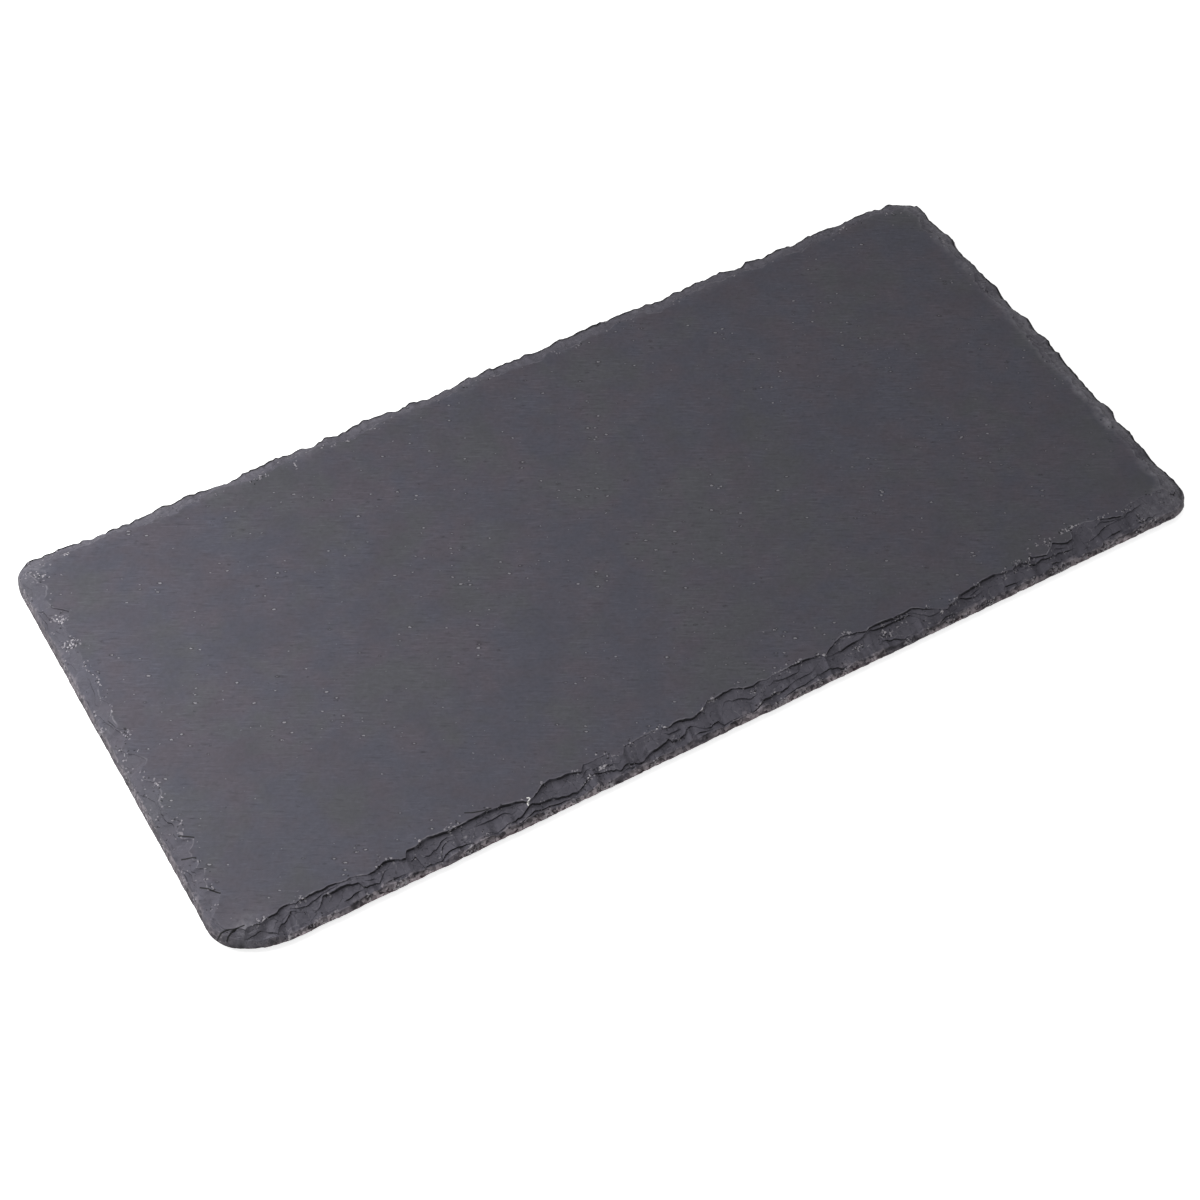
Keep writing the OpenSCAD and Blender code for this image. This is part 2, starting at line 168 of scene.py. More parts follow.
LEFT_FLECKS: FleckRows = (
    (16, 3, 0.8, 0.5, 0.65), (20.5, 5.7, 0.8, 0.4, 0.7), (21.3, 4.7, 0.5, 0.5, 0.7), (43, 6.7, 1.6, 0.4, 0.7),
    (52, 5.6, 1.4, 0.5, 0.8), (56, 6.5, 2, 0.4, 0.8), (69, 6.2, 1, 0.4, 0.65), (74.5, 5.8, 1.6, 0.8, 0.8),
    (95, 6, 4, 0.4, 0.7), (110, 4.5, 2, 1.8, 0.8), (119.5, 5, 2.4, 1.8, 0.8), (139.5, 6, 1.6, 3, 0.65))
BACK_FLECKS: FleckRows = (
    (12.5, 6, 1.4, 0.6, 1), (84.5, 8.5, 0.5, 0.5, 1.4), (170.5, 8.5, 0.5, 0.5, 0.9), (270, 6, 2, 0.6, 0.9),
    (286.5, 7.2, 0.7, 0.6, 1))
RIGHT_FLECKS: FleckRows = ((25, 5, 0.6, 0.4, 0.8), (96, 6.5, 3, 0.4, 0.7), (121, 5.5, 2, 0.5, 0.7))


class Side(Enum):
    """The four sides, counter-clockwise from above. Each starts at the corner of its own number."""

    FRONT = 0
    RIGHT = 1
    BACK = 2
    LEFT = 3


def linear(colour: str) -> tuple[float, float, float, float]:
    """Turns an sRGB hex colour to linear light.

    Args:
        colour: Six hex digits after a hash sign.

    Returns:
        Red, green, blue and an alpha of 1.
    """
    shares = [int(colour[i:i + 2], 16) / 255 for i in (1, 3, 5)]
    light = [s / 12.92 if s <= 0.04045 else ((s + 0.055) / 1.055) ** 2.4 for s in shares]
    return (light[0], light[1], light[2], 1.0)


def per_metre(size: float) -> float:
    """Texture scale at which one feature of a pattern is about this many millimetres across."""
    return METRE / size


def add_node(tree: Tree, kind: str, inputs: dict | None = None, **settings: object) -> Node:
    """Adds one node with its settings, values and links.

    Args:
        tree: The node tree that it goes into.
        kind: Blender's name for the kind of node, after ShaderNode.
        inputs: Values, sockets or nodes, by the name or number of the input. A node gives its first output.
        settings: The node's own properties.

    Returns:
        The new node.
    """
    node = tree.nodes.new("ShaderNode" + kind)
    for name, value in settings.items():
        setattr(node, name, value)
    for key, value in (inputs or {}).items():
        if isinstance(value, Node):
            value = next(output for output in value.outputs if output.enabled)
        if isinstance(value, Socket):
            tree.links.new(value, node.inputs[key])
        else:
            node.inputs[key].default_value = value
    return node


def empty_material(name: str) -> bpy.types.Material:
    """Makes a material whose node tree is empty.

    Args:
        name: Common name of the real material.

    Returns:
        The new material.
    """
    material = bpy.data.materials.new(name)
    material.use_nodes = True
    material.node_tree.nodes.clear()
    return material


def chance(items: np.ndarray, row: float) -> np.ndarray:
    """Repeatable values from 0 to 1 for the items of a row, the same as in the solids."""
    value = 43.7 * (1 + np.sin(np.radians(items * 137.5 + row * 71.3)))
    return value - np.floor(value)


def between(low: float, high: float, share: np.ndarray | float) -> np.ndarray | float:
    """Value at a share of the way from low to high."""
    return low + (high - low) * share


def hashed(cells: np.ndarray, seed: int) -> np.ndarray:
    """Repeatable values from 0 to 1 for cells of a lattice.

    Args:
        cells: Whole numbers, three to a cell.
        seed: Number of the set of values.

    Returns:
        One value for each cell.
    """
    mixed = np.sin(cells @ np.array([127.1, 311.7, 74.7]) + seed * 19.19) * 43758.5453
    return mixed - np.floor(mixed)


def chips(points: np.ndarray, size: float, seed: int) -> np.ndarray:
    """Relief of broken stone, where each point lies on the small tilted face of its nearest chip.

    Args:
        points: Places in millimetres, three numbers each.
        size: Usual size of a chip.
        seed: Number of the pattern.

    Returns:
        Heights from about -1 to 1.
    """
    places = points / size
    base = np.floor(places)
    nearest = np.full(len(places), np.inf)
    height = np.zeros(len(places))
    for step in product((-1, 0, 1), repeat=3):
        cell = base + np.array(step)
        middle = cell + np.stack([hashed(cell, seed + i) for i in range(3)], axis=1)
        gap = places - middle
        distance = (gap ** 2).sum(axis=1)
        tilt = np.stack([hashed(cell, seed + 3 + i) - 0.5 for i in range(3)], axis=1)
        level = 2 * hashed(cell, seed + 6) - 1
        nearer = distance < nearest
        height[nearer] = (0.7 * level + 1.2 * (gap * tilt).sum(axis=1))[nearer]
        nearest[nearer] = distance[nearer]
    return height


def kinks(walk: np.ndarray, spacing: float, seed: int, torn: bool = False) -> np.ndarray:
    """Angular wandering values from -1 to 1 round the closed outline.

    Args:
        walk: Distance round the outline at each column, from 0 to its full length at the last one.
        spacing: Usual distance from kink to kink.
        seed: Number of the pattern.
        torn: Whether the values jump at each kink, instead of running straight to the next one.

    Returns:
        One value for each column.
    """
    count = round(walk[-1] / spacing)
    i = np.arange(count)
    places = walk[-1] * (i + 0.8 * hashed(np.stack([i, i, i], axis=1), seed)) / count
    values = 2 * hashed(np.stack([i, i, i], axis=1), seed + 1) - 1
    if torn:
        return values[np.searchsorted(places, walk % walk[-1]) - 1]
    return np.interp(walk, places, values, period=walk[-1])


def drift(points: np.ndarray, size: float, seed: int) -> np.ndarray:
    """Smooth wandering values from about -1 to 1.

    Args:
        points: Places in millimetres, two or three numbers each.
        size: Usual distance between a rise and the next dip.
        seed: Number of the pattern.

    Returns:
        One value for each place.
    """
    places = np.zeros((len(points), 3))
    places[:, :points.shape[1]] = points / size
    places += seed * 17.3
    return np.array([noise.noise(Vector(p)) for p in places])


@dataclass(frozen=True)
class Span:
    """A stretch of a pattern's values, and what its two ends become."""

    start: float
    end: float
    low: float = 0.0
    high: float = 1.0

    def of(self, value: Node | Socket) -> dict:
        """Inputs that map a value along this stretch."""
        return {"Value": value, "From Min": self.start, "From Max": self.end,
                "To Min": self.low, "To Max": self.high}


@dataclass(frozen=True)
class Uneven:
    """Values that wander round the outline about a middle, within limits.

    Each wave has the usual distance from kink to kink, the number of its pattern and its strength. One that
    ends with True jumps from level to level.
    """

    middle: float
    waves: tuple[tuple, ...]
    low: float = -math.inf
    high: float = math.inf

    def along(self, walk: np.ndarray, seed: int = 0) -> np.ndarray:
        """Values at each column.

        Args:
            walk: Distance round the outline at each column.
            seed: Number that is added to those of the patterns.

        Returns:
            One value for each column.
        """
        values = self.middle
        for spacing, number, strength, *torn in self.waves:
            values = values + strength * kinks(walk, spacing, seed + number, *torn)
        return np.clip(values, self.low, self.high)


@dataclass(frozen=True)
class RivenSlate:
    """Slate split by hand along its cleavage and dressed with a hammer.

    The split faces are matt blue-grey with a silky grain, faint cool and warm clouds and sparse pale grit.
    The broken edge has clean treads, crevices darkened almost black with painted shade, pale crumbs on
    bruised lips and a crumbly foot; the dust on the treads also carries painted light.
    """

    cool: str = "#4c4c56"
    warm: str = "#504c54"
    neutral: str = "#4e4e53"
    tread: str = "#5d5b64"
    # Pale dust, also used for painted light on treads that turn from the light and for worn cracks
    dust_and_light: str = "#848289"
    # Black of the painted shade in crevices, cracks, pits and grit sockets
    crevice_shade: str = "#0a090c"
    crumb_dark: str = "#1a1618"
    crumb_pale: str = "#f2e6ec"
    fringe: str = "#967f86"
    powder_dim: str = "#77747b"
    powder: str = "#d4d0d4"
    grit: str = "#96949a"
    quartz: str = "#f4f3f1"
    specular: float = 0.25

    # Sizes of the patterns
    cloud_size: float = 13.0
    veil_size: float = 17.0
    patch_size: float = 11.0
    streak: tuple[float, float] = (4.5, 0.7)
    dash: tuple[float, float] = (2.2, 0.5)
    streak_turn: float = -29.7
    grain_size: float = 1.1
    grit_spacing: float = 1.4
    grit_stretch: float = 1.9
    grit_wander: float = 0.6
    flake_size: float = 3.0
    flake_wander: float = 1.2
    mottle_size: float = 1.6
    crumb_size: float = 0.85
    powder_size: float = 0.45
    crack_half: float = 0.24
    thread_half: float = 0.2

    # How the patterns' values turn to shares, sizes and light
    cloud_share: Span = Span(0.38, 0.62)
    veil_share: Span = Span(0.48, 0.66)
    gathered: Span = Span(0.35, 0.65, 0.2, 1.8)
    patch_light: Span = Span(0.3, 0.7, 0.92, 1.08)
    tooth_light: Span = Span(0.1, 0.9, 0.82, 1.18)
    dash_light: Span = Span(0.25, 0.36, 0.74)
    streak_power: float = 3.0
    streak_gain: float = 900.0
    grit_grown: Span = Span(0.2, 1.5, 0.0, 0.22)
    grit_share: Span = Span(-0.01, 0.08, 0.0, 0.8)
    socket_shade_near: Span = Span(-0.2, -0.03)
    socket_shade_depth: Span = Span(0.7, 1.5, 0.0, 0.5)
    mottle_light: Span = Span(0.3, 0.7, 0.84, 1.16)
    dust_and_light_patch: Span = Span(0.3, 0.7)
    flaw: Span = Span(0.06, 0.01)
    flaw_open: Span = Span(0.5, 0.56, 0.0, 0.45)
    flaw_worn: Span = Span(0.47, 0.4, 0.0, 0.45)
    crumb_power: float = 1.2
    white_chance: float = 0.45
    pit_chance: float = 0.22
    pit_dark: float = 0.7
    line_core: float = 0.6
    tooth_depth: Span = Span(0.0, 1.0, 0.02 / METRE, 0.05 / METRE)
    roughness: Span = Span(0.0, 1.0, 0.62, 0.8)

    # Lines on the slab are found by their plan and hardly by their height, so that the underside stays clean
    drawn_level: float = 6.0
    drawn_squash: float = 0.05

    @property
    def turn(self) -> tuple[float, float, float]:
        """Rotation of the grain."""
        return (0.0, 0.0, math.radians(self.streak_turn))

    def along_grain(self, add: Adder, place: Socket, size: tuple[float, float]) -> Node:
        """Noise drawn out along the grain.

        Args:
            add: Adds a node to the slate's tree.
            place: Socket with the place on the slab.
            size: Usual length and width of a streak.

        Returns:
            The noise.
        """
        scale = Vector((size[0], size[1], size[1])) / METRE
        turned = add("Mapping", {"Vector": place, "Rotation": self.turn, "Scale": scale},
                     vector_type="TEXTURE")
        return add("TexNoise", {"Vector": turned, "Scale": 1.0, "Detail": 3.0, "Roughness": 0.6})

    def split_face(self, add: Adder, place: Socket) -> tuple[list[Coat], Node]:
        """Draws the split faces: clouds, streaks and dark dashes along the grain, a fine tooth and grit in
        sockets of painted shade.

        Args:
            add: Adds a node to the slate's tree.
            place: Socket with the place on the slab.

        Returns:
            The coats over the cool grey, and the height of the tooth.
        """
        clouds, veils, patches, grain = (
            add("TexNoise", {"Vector": place, "Scale": per_metre(size), "Detail": 3.0, "Roughness": rough})
            for size, rough in ((self.cloud_size, 0.6), (self.veil_size, 0.6), (self.patch_size, 0.6),
                                (self.grain_size, 0.65)))
        coats = [(add("MapRange", span.of(pattern)), linear(colour), "MIX")
                 for span, pattern, colour in ((self.cloud_share, clouds, self.warm),
                                               (self.veil_share, veils, self.neutral))]

        # Streaks and grit gather in some patches, which are also a shade lighter
        gathered = add("MapRange", self.gathered.of(patches))
        lean = add("Math", {0: self.along_grain(add, place, self.streak), 1: 0.5}, operation="SUBTRACT")
        lean_size = add("Math", {0: lean}, operation="ABSOLUTE")
        lean_drawn = add("Math", {0: lean_size, 1: self.streak_power}, operation="POWER")
        stroke = add("Math", {0: lean, 1: lean_drawn}, operation="MULTIPLY")
        drawn = add("Math", {0: stroke, 1: self.streak_gain}, operation="MULTIPLY")
        tooth = add("Math", {0: drawn, 1: gathered, 2: grain}, operation="MULTIPLY_ADD")
        dashes = self.along_grain(add, place, self.dash)
        coats += [(1.0, add("MapRange", span.of(pattern)), "MULTIPLY")
                  for span, pattern in ((self.patch_light, patches), (self.tooth_light, tooth),
                                        (self.dash_light, dashes))]

        # Pale ragged grit of many sizes, because most grains lie partly under the surface, each in a socket
        # of painted shade
        ragged = add("TexNoise", {"Vector": place, "Scale": per_metre(self.powder_size)})
        stray = (self.grit_wander / METRE,) * 3
        moved = add("VectorMath", {0: ragged.outputs["Color"], 1: stray, 2: place}, operation="MULTIPLY_ADD")
        stretch = (self.grit_stretch, 1, 1)
        turned = add("Mapping", {"Vector": moved, "Rotation": self.turn, "Scale": stretch},
                     vector_type="TEXTURE")
        grit = add("TexVoronoi", {"Vector": turned, "Scale": per_metre(self.grit_spacing)})
        luck = add("SeparateColor", {"Color": grit.outputs["Color"]})
        few = add("Math", {0: luck.outputs["Red"], 1: gathered}, operation="MULTIPLY")
        grown = add("MapRange", self.grit_grown.of(few))
        inside = add("Math", {0: grown, 1: grit.outputs["Distance"]}, operation="SUBTRACT")
        near = add("MapRange", self.socket_shade_near.of(inside))
        depth = add("MapRange", self.socket_shade_depth.of(few))
        socket_shade = add("Math", {0: depth, 1: near}, operation="MULTIPLY")
        grain_share = add("MapRange", self.grit_share.of(inside))
        coats += [(socket_shade, linear(self.crevice_shade), "MIX"), (grain_share, linear(self.grit), "MIX")]
        return coats, tooth

    def broken_edge(self, add: Adder, place: Socket, masks: dict[str, Socket]) -> list[Coat]:
        """Draws the dressed edge: treads with dust and painted light, the crumbly foot, crevices black with
        painted shade and crushed lips.

        Args:
            add: Adds a node to the slate's tree.
            place: Socket with the place on the slab.
            masks: Sockets with the slab's masks, by name.

        Returns:
            The coats over the split faces.
        """
        mottle = add("TexNoise", {
            "Vector": place, "Scale": per_metre(self.mottle_size), "Detail": 4.0, "Roughness": 0.65})
        light = add("MapRange", self.mottle_light.of(mottle))
        tread = add("Mix", {FACTOR: 1.0, COLOUR_A: linear(self.tread), COLOUR_B: light},
                    data_type="RGBA", blend_type="MULTIPLY")
        patch = add("MapRange", self.dust_and_light_patch.of(mottle))
        dust_and_light = add("Math", {0: masks["dust_and_light"], 1: patch}, operation="MULTIPLY", use_clamp=True)

        # Fine cracks between the flakes of the treads, some open and black with painted shade and some worn
        # pale
        stray = (self.flake_wander / METRE,) * 3
        moved = add("VectorMath", {0: mottle.outputs["Color"], 1: stray, 2: place}, operation="MULTIPLY_ADD")
        flakes = add("TexVoronoi", {"Vector": moved, "Scale": per_metre(self.flake_size)},
                     feature="DISTANCE_TO_EDGE")
        flaw = add("MapRange", self.flaw.of(flakes))
        near = add("Math", {0: flaw, 1: masks["broken"]}, operation="MULTIPLY")
        parts = [add("MapRange", span.of(mottle)) for span in (self.flaw_open, self.flaw_worn)]
        flaws = [add("Math", {0: near, 1: part}, operation="MULTIPLY") for part in parts]

        # Every crumb is a cell with a shade of its own, and most are dark
        crumbs, bits = (add("TexVoronoi", {"Vector": place, "Scale": per_metre(size)})
                        for size in (self.crumb_size, self.powder_size))
        shades, kinds = (add("SeparateColor", {"Color": cells.outputs["Color"]})
                         for cells in (crumbs, bits))
        pale = add("Math", {0: shades.outputs["Red"], 1: self.crumb_power}, operation="POWER")
        crumb = add("Mix", {
            FACTOR: pale, COLOUR_A: linear(self.crumb_dark), COLOUR_B: linear(self.crumb_pale)},
            data_type="RGBA")
        fringed = add("Mix", {FACTOR: masks["fringe"], COLOUR_A: crumb, COLOUR_B: linear(self.fringe)},
                      data_type="RGBA")

        # Where the stone is bruised, some crumbs are powdery white and some have left a pit, painted black as
        # shade
        bruise = masks["bruise"]
        crushed = add("Math", {0: bruise, 1: self.white_chance}, operation="MULTIPLY")
        white = add("Math", {0: kinds.outputs["Green"], 1: crushed}, operation="LESS_THAN")
        powdery = add("Math", {0: kinds.outputs["Blue"], 1: bruise}, operation="MULTIPLY")
        powder = add("Mix", {
            FACTOR: powdery, COLOUR_A: linear(self.powder_dim), COLOUR_B: linear(self.powder)},
            data_type="RGBA")
        whole = add("Math", {0: bruise, 1: -self.pit_chance, 2: 1.0}, operation="MULTIPLY_ADD")
        pit = add("Math", {0: kinds.outputs["Green"], 1: whole}, operation="GREATER_THAN")
        pit_share = add("Math", {0: pit, 1: self.pit_dark}, operation="MULTIPLY")
        shade_black = linear(self.crevice_shade)
        coats = ((masks["broken"], tread), (dust_and_light, linear(self.dust_and_light)), (flaws[0], shade_black),
                 (flaws[1], linear(self.dust_and_light)), (masks["crumbs"], fringed), (masks["crevice_shade"], shade_black),
                 (pit_share, shade_black), (white, powder))
        return [(share, coat, "MIX") for share, coat in coats]

    def drawn(self, mark: tuple[float, float]) -> Vector:
        """Place of a mark in squashed metres.

        Args:
            mark: Distances from the left and the front of the outline.

        Returns:
            The place.
        """
        outline = Outline()
        return Vector((mark[0] - outline.length / 2, mark[1] - outline.width / 2,
                       self.drawn_level * self.drawn_squash)) / METRE

    def line(self, add: Adder, place: Socket, courses: CourseRows, half: float) -> Node:
        """Draws some lines on the slab.

        Args:
            add: Adds a node to the slate's tree.
            place: Socket with the place on the slab.
            courses: Marks along each of the lines.
            half: Half the width of the lines.

        Returns:
            Node that is 1 on the lines and 0 away from them.
        """
        squashed = add("VectorMath", {0: place, 1: (1, 1, self.drawn_squash)}, operation="MULTIPLY")
        nearest = None
        for start, end in (pair for course in courses for pair in zip(course, course[1:])):
            run = self.drawn(end) - self.drawn(start)
            gap = add("VectorMath", {0: squashed, 1: self.drawn(start)}, operation="SUBTRACT")
            passed = add("VectorMath", {0: gap, 1: run / run.length_squared}, operation="DOT_PRODUCT")
            share = add("Clamp", {"Value": passed})
            foot = add("VectorMath", {0: run, "Scale": share}, operation="SCALE")
            distance = add("VectorMath", {0: gap, 1: foot}, operation="DISTANCE")
            if nearest is not None:
                distance = add("Math", {0: nearest, 1: distance}, operation="MINIMUM")
            nearest = distance
        return add("MapRange", Span(half / METRE, self.line_core * half / METRE).of(nearest))

    def make(self) -> bpy.types.Material:
        """Builds the material.

        Returns:
            The slate, which reads the slab's masks.
        """
        material = empty_material("riven_slate")
        add = partial(add_node, material.node_tree)
        place = add("TexCoord").outputs["Object"]
        masks = {name: add("Attribute", attribute_name=name).outputs["Fac"] for name in Slab.MASKS}
        coats, tooth = self.split_face(add, place)
        coats += self.broken_edge(add, place, masks)
        for courses, half, colour in ((CRACKS, self.crack_half, self.crevice_shade),
                                      (THREADS, self.thread_half, self.quartz)):
            coats.append((self.line(add, place, courses, half), linear(colour), "MIX"))
        slate = linear(self.cool)
        for share, coat, blend in coats:
            slate = add("Mix", {FACTOR: share, COLOUR_A: slate, COLOUR_B: coat},
                        data_type="RGBA", blend_type=blend)

        # Tooth of the split faces, which is coarser on the breaks
        depth = add("MapRange", self.tooth_depth.of(masks["broken"]))
        bump = add("Bump", {"Height": tooth, "Strength": 1.0, "Distance": depth})
        roughness = add("MapRange", self.roughness.of(masks["broken"]))
        shader = add("BsdfPrincipled", {"Base Color": slate, "Roughness": roughness,
                                        "Specular IOR Level": self.specular, "Normal": bump})
        add("OutputMaterial", {"Surface": shader})
        return material


@dataclass(frozen=True)
class CellRubber:
    """Closed-cell rubber, die-cut from sheet: almost black, dull, with fine open pores on its cut faces."""

    colour: str = "#1d1d1f"
    worn: str = "#2c2b2c"
    pore_size: float = 0.35
    pore_depth: float = 0.06
    scuff_size: float = 3.0
    roughness: Span = Span(0.0, 1.0, 0.75, 0.95)
    specular: float = 0.3

    def make(self) -> bpy.types.Material:
        """Builds the material.

        Returns:
            The rubber of the foot pads.
        """
        material = empty_material("closed_cell_rubber")
        add = partial(add_node, material.node_tree)
        place = add("TexCoord").outputs["Object"]
        scuffs = add("TexNoise", {
            "Vector": place, "Scale": per_metre(self.scuff_size), "Detail": 4.0, "Roughness": 0.65})
        colour = add("Mix", {
            FACTOR: scuffs, COLOUR_A: linear(self.colour), COLOUR_B: linear(self.worn)}, data_type="RGBA")
        pores = add("TexVoronoi", {"Vector": place, "Scale": per_metre(self.pore_size)})
        bump = add("Bump", {"Height": pores, "Strength": 0.8, "Distance": self.pore_depth / METRE})
        roughness = add("MapRange", self.roughness.of(scuffs))
        shader = add("BsdfPrincipled", {"Base Color": colour, "Roughness": roughness,
                                        "Specular IOR Level": self.specular, "Normal": bump})
        add("OutputMaterial", {"Surface": shader})
        return material


@dataclass(frozen=True)
class AdhesiveFilm:
    """Acrylic adhesive on a plastic film: milky, a little glossy, with paler patches of trapped air."""

    clear: str = "#c9c5b6"
    milky: str = "#e2dfd4"
    patch_size: float = 1.4
    patch_share: Span = Span(0.4, 0.6)

    def make(self) -> bpy.types.Material:
        """Builds the material.

        Returns:
            The film under the foot pads.
        """
        material = empty_material("acrylic_adhesive_film")
        add = partial(add_node, material.node_tree)
        place = add("TexCoord").outputs["Object"]
        patches = add("TexNoise", {
            "Vector": place, "Scale": per_metre(self.patch_size), "Detail": 2.0})
        share = add("MapRange", self.patch_share.of(patches))
        colour = add("Mix", {
            FACTOR: share, COLOUR_A: linear(self.clear), COLOUR_B: linear(self.milky)}, data_type="RGBA")
        shader = add("BsdfPrincipled", {
            "Base Color": colour, "Roughness": 0.35, "Subsurface Weight": 0.2})
        add("OutputMaterial", {"Surface": shader})
        return material


@dataclass(frozen=True)
class Outline:
    """Plan of the slab: a rectangle with a differently trimmed corner at each end of each side."""

    length: float = 300.0
    width: float = 145.0
    corner_long: tuple[float, ...] = (22.0, 9.0, 16.0, 6.5)
    corner_short: tuple[float, ...] = (13.0, 9.0, 12.0, 10.0)
    field_inset: float = 12.0
    field_corner: float = 3.0
    corner_lip: tuple[float, ...] = (0.52, 0.8, 0.8, 0.8)
    corner_power: tuple[float, ...] = (0.92, 1.0, 1.0, 1.0)
    lean_fade: int = 12
    column_step: float = 0.4

    def side_length(self, side: Side) -> float:
        """Length of a side."""
        return self.width if side.value % 2 else self.length

    def turned(self, side: Side, points: np.ndarray) -> np.ndarray:
        """Board positions of points given along a side and inward from it.

        Args:
            side: The side.
            points: Distances along the side and inward, two to a row.

        Returns:
            X and Y from the middle of the board.
        """
        depth = self.length if side.value % 2 else self.width
        x = points[:, 0] - self.side_length(side) / 2
        y = points[:, 1] - depth / 2
        turn = math.radians(90 * side.value)
        cos, sin = math.cos(turn), math.sin(turn)
        return np.stack([x * cos - y * sin, x * sin + y * cos], axis=1)

    def field_start(self, reach: float) -> float:
        """Where the straight edge of the field starts along a side, clear of a corner with this reach."""
        return max(self.field_inset + self.field_corner, reach)

    def corner(self, side: Side, number: int, angles: np.ndarray,
               ends: bool) -> tuple[np.ndarray, np.ndarray]:
        """Columns of half a corner, in the side's own frame.

        Args:
            side: The side that the half corner belongs to.
            number: The corner, counted from the front left one.
            angles: Angles round the corner, 0 at the side's straight part.
            ends: Whether the side ends at this corner.

        Returns:
            Points on the outline and points on the edge of the field.
        """
        odd = side.value % 2
        along = (self.corner_short if odd else self.corner_long)[number]
        across = (self.corner_long if odd else self.corner_short)[number]
        start, rise = self.field_start(along), self.field_start(across)
        power = self.corner_power[number]
        rim = np.stack([along * (1 - np.sin(angles) ** power),
                        across * (1 - np.cos(angles) ** power)], axis=1)
        field = np.stack([start - (start - self.field_inset) * np.sin(angles),
                          rise - (rise - self.field_inset) * np.cos(angles)], axis=1)
        if ends:
            rim[:, 0] = self.side_length(side) - rim[:, 0]
            field[:, 0] = self.side_length(side) - field[:, 0]
        return rim, field

    def side_columns(self, side: Side) -> tuple[np.ndarray, np.ndarray, np.ndarray]:
        """Columns of one side, from the middle of its first corner to just before the middle of its last one.

        Args:
            side: The side.

        Returns:
            Points on the outline and on the edge of the field, in the side's own frame, and the share of the
            lip's reach that is left round the corners.
        """
        reach = self.corner_short if side.value % 2 else self.corner_long
        before, after = side.value, (side.value + 1) % 4
        length = self.side_length(side)
        half_turn = math.radians(45)
        arcs = [(self.corner_long[c] + self.corner_short[c]) * math.pi / 8 for c in (before, after)]
        counts = [max(6, math.ceil(arc / self.column_step)) for arc in arcs]
        bends = [1 - np.arange(counts[0]) / counts[0], np.arange(1, counts[1]) / counts[1]]
        first = self.corner(side, before, half_turn * bends[0], False)
        last = self.corner(side, after, half_turn * bends[1], True)

        # The columns lean near a small corner and stand upright further on
        steps = math.ceil((length - reach[before] - reach[after]) / self.column_step)
        share = np.arange(steps + 1) / steps
        along = between(reach[before], length - reach[after], share)
        leans = [self.field_start(reach[c]) - reach[c] for c in (before, after)]
        leaned = along + leans[0] * (1 - share) ** self.lean_fade - leans[1] * share ** self.lean_fade
        rim = np.stack([along, np.zeros(steps + 1)], axis=1)
        field = np.stack([leaned, np.full(steps + 1, self.field_inset)], axis=1)
        left = [1 - (1 - self.corner_lip[c]) * bend ** 2 for c, bend in zip((before, after), bends)]
        return (np.concatenate([first[0], rim, last[0]]), np.concatenate([first[1], field, last[1]]),
                np.concatenate([left[0], np.ones(steps + 1), left[1]]))


@dataclass
class Columns:
    """All the columns round the board: side number, mark along the side, two points, and lip share."""

    side: np.ndarray
    mark: np.ndarray
    rim: np.ndarray
    field: np.ndarray
    lip_share: np.ndarray

    def on(self, *sides: Side) -> np.ndarray:
        """Which columns stand on the given sides."""
        return np.isin(self.side, [side.value for side in sides])

    @property
    def walk(self) -> np.ndarray:
        """Distance round the outline at each column."""
        steps = np.linalg.norm(np.diff(self.rim, axis=0), axis=1)
        return np.concatenate([[0.0], np.cumsum(steps)])

    @classmethod
    def round_board(cls, outline: Outline) -> "Columns":
        """Collects the columns of the four sides and closes the ring with a copy of the first.

        Args:
            outline: The plan of the slab.

        Returns:
            The columns. Marks count from the left end of the long sides and the front end of the short ones.
        """
        sides, marks, rims, fields, lips = [], [], [], [], []
        for side in Side:
            rim, field, lip = outline.side_columns(side)
            sides.append(np.full(len(rim), side.value))
            backwards = side in (Side.BACK, Side.LEFT)
            marks.append(outline.side_length(side) - rim[:, 0] if backwards else rim[:, 0])
            rims.append(outline.turned(side, rim))
            fields.append(outline.turned(side, field))
            lips.append(lip)
        parts = [np.concatenate(group) for group in (sides, marks, rims, fields, lips)]
        return cls(*[np.concatenate([part, part[:1]]) for part in parts])


@dataclass
class Knot:
    """One line of the edge all round the board, and the masks of the stone there, among them painted crevice
    shade.

    Reach is in from the outline and height is up from the underside. Rows says how many rows of faces lead
    from this line to the next one.
    """

    reach: np.ndarray
    height: np.ndarray
    rows: int
    broken: np.ndarray | float = 0.0
    crevice_shade: np.ndarray | float = 0.0
    crumbs: np.ndarray | float = 0.0
    fringe: np.ndarray | float = 0.0


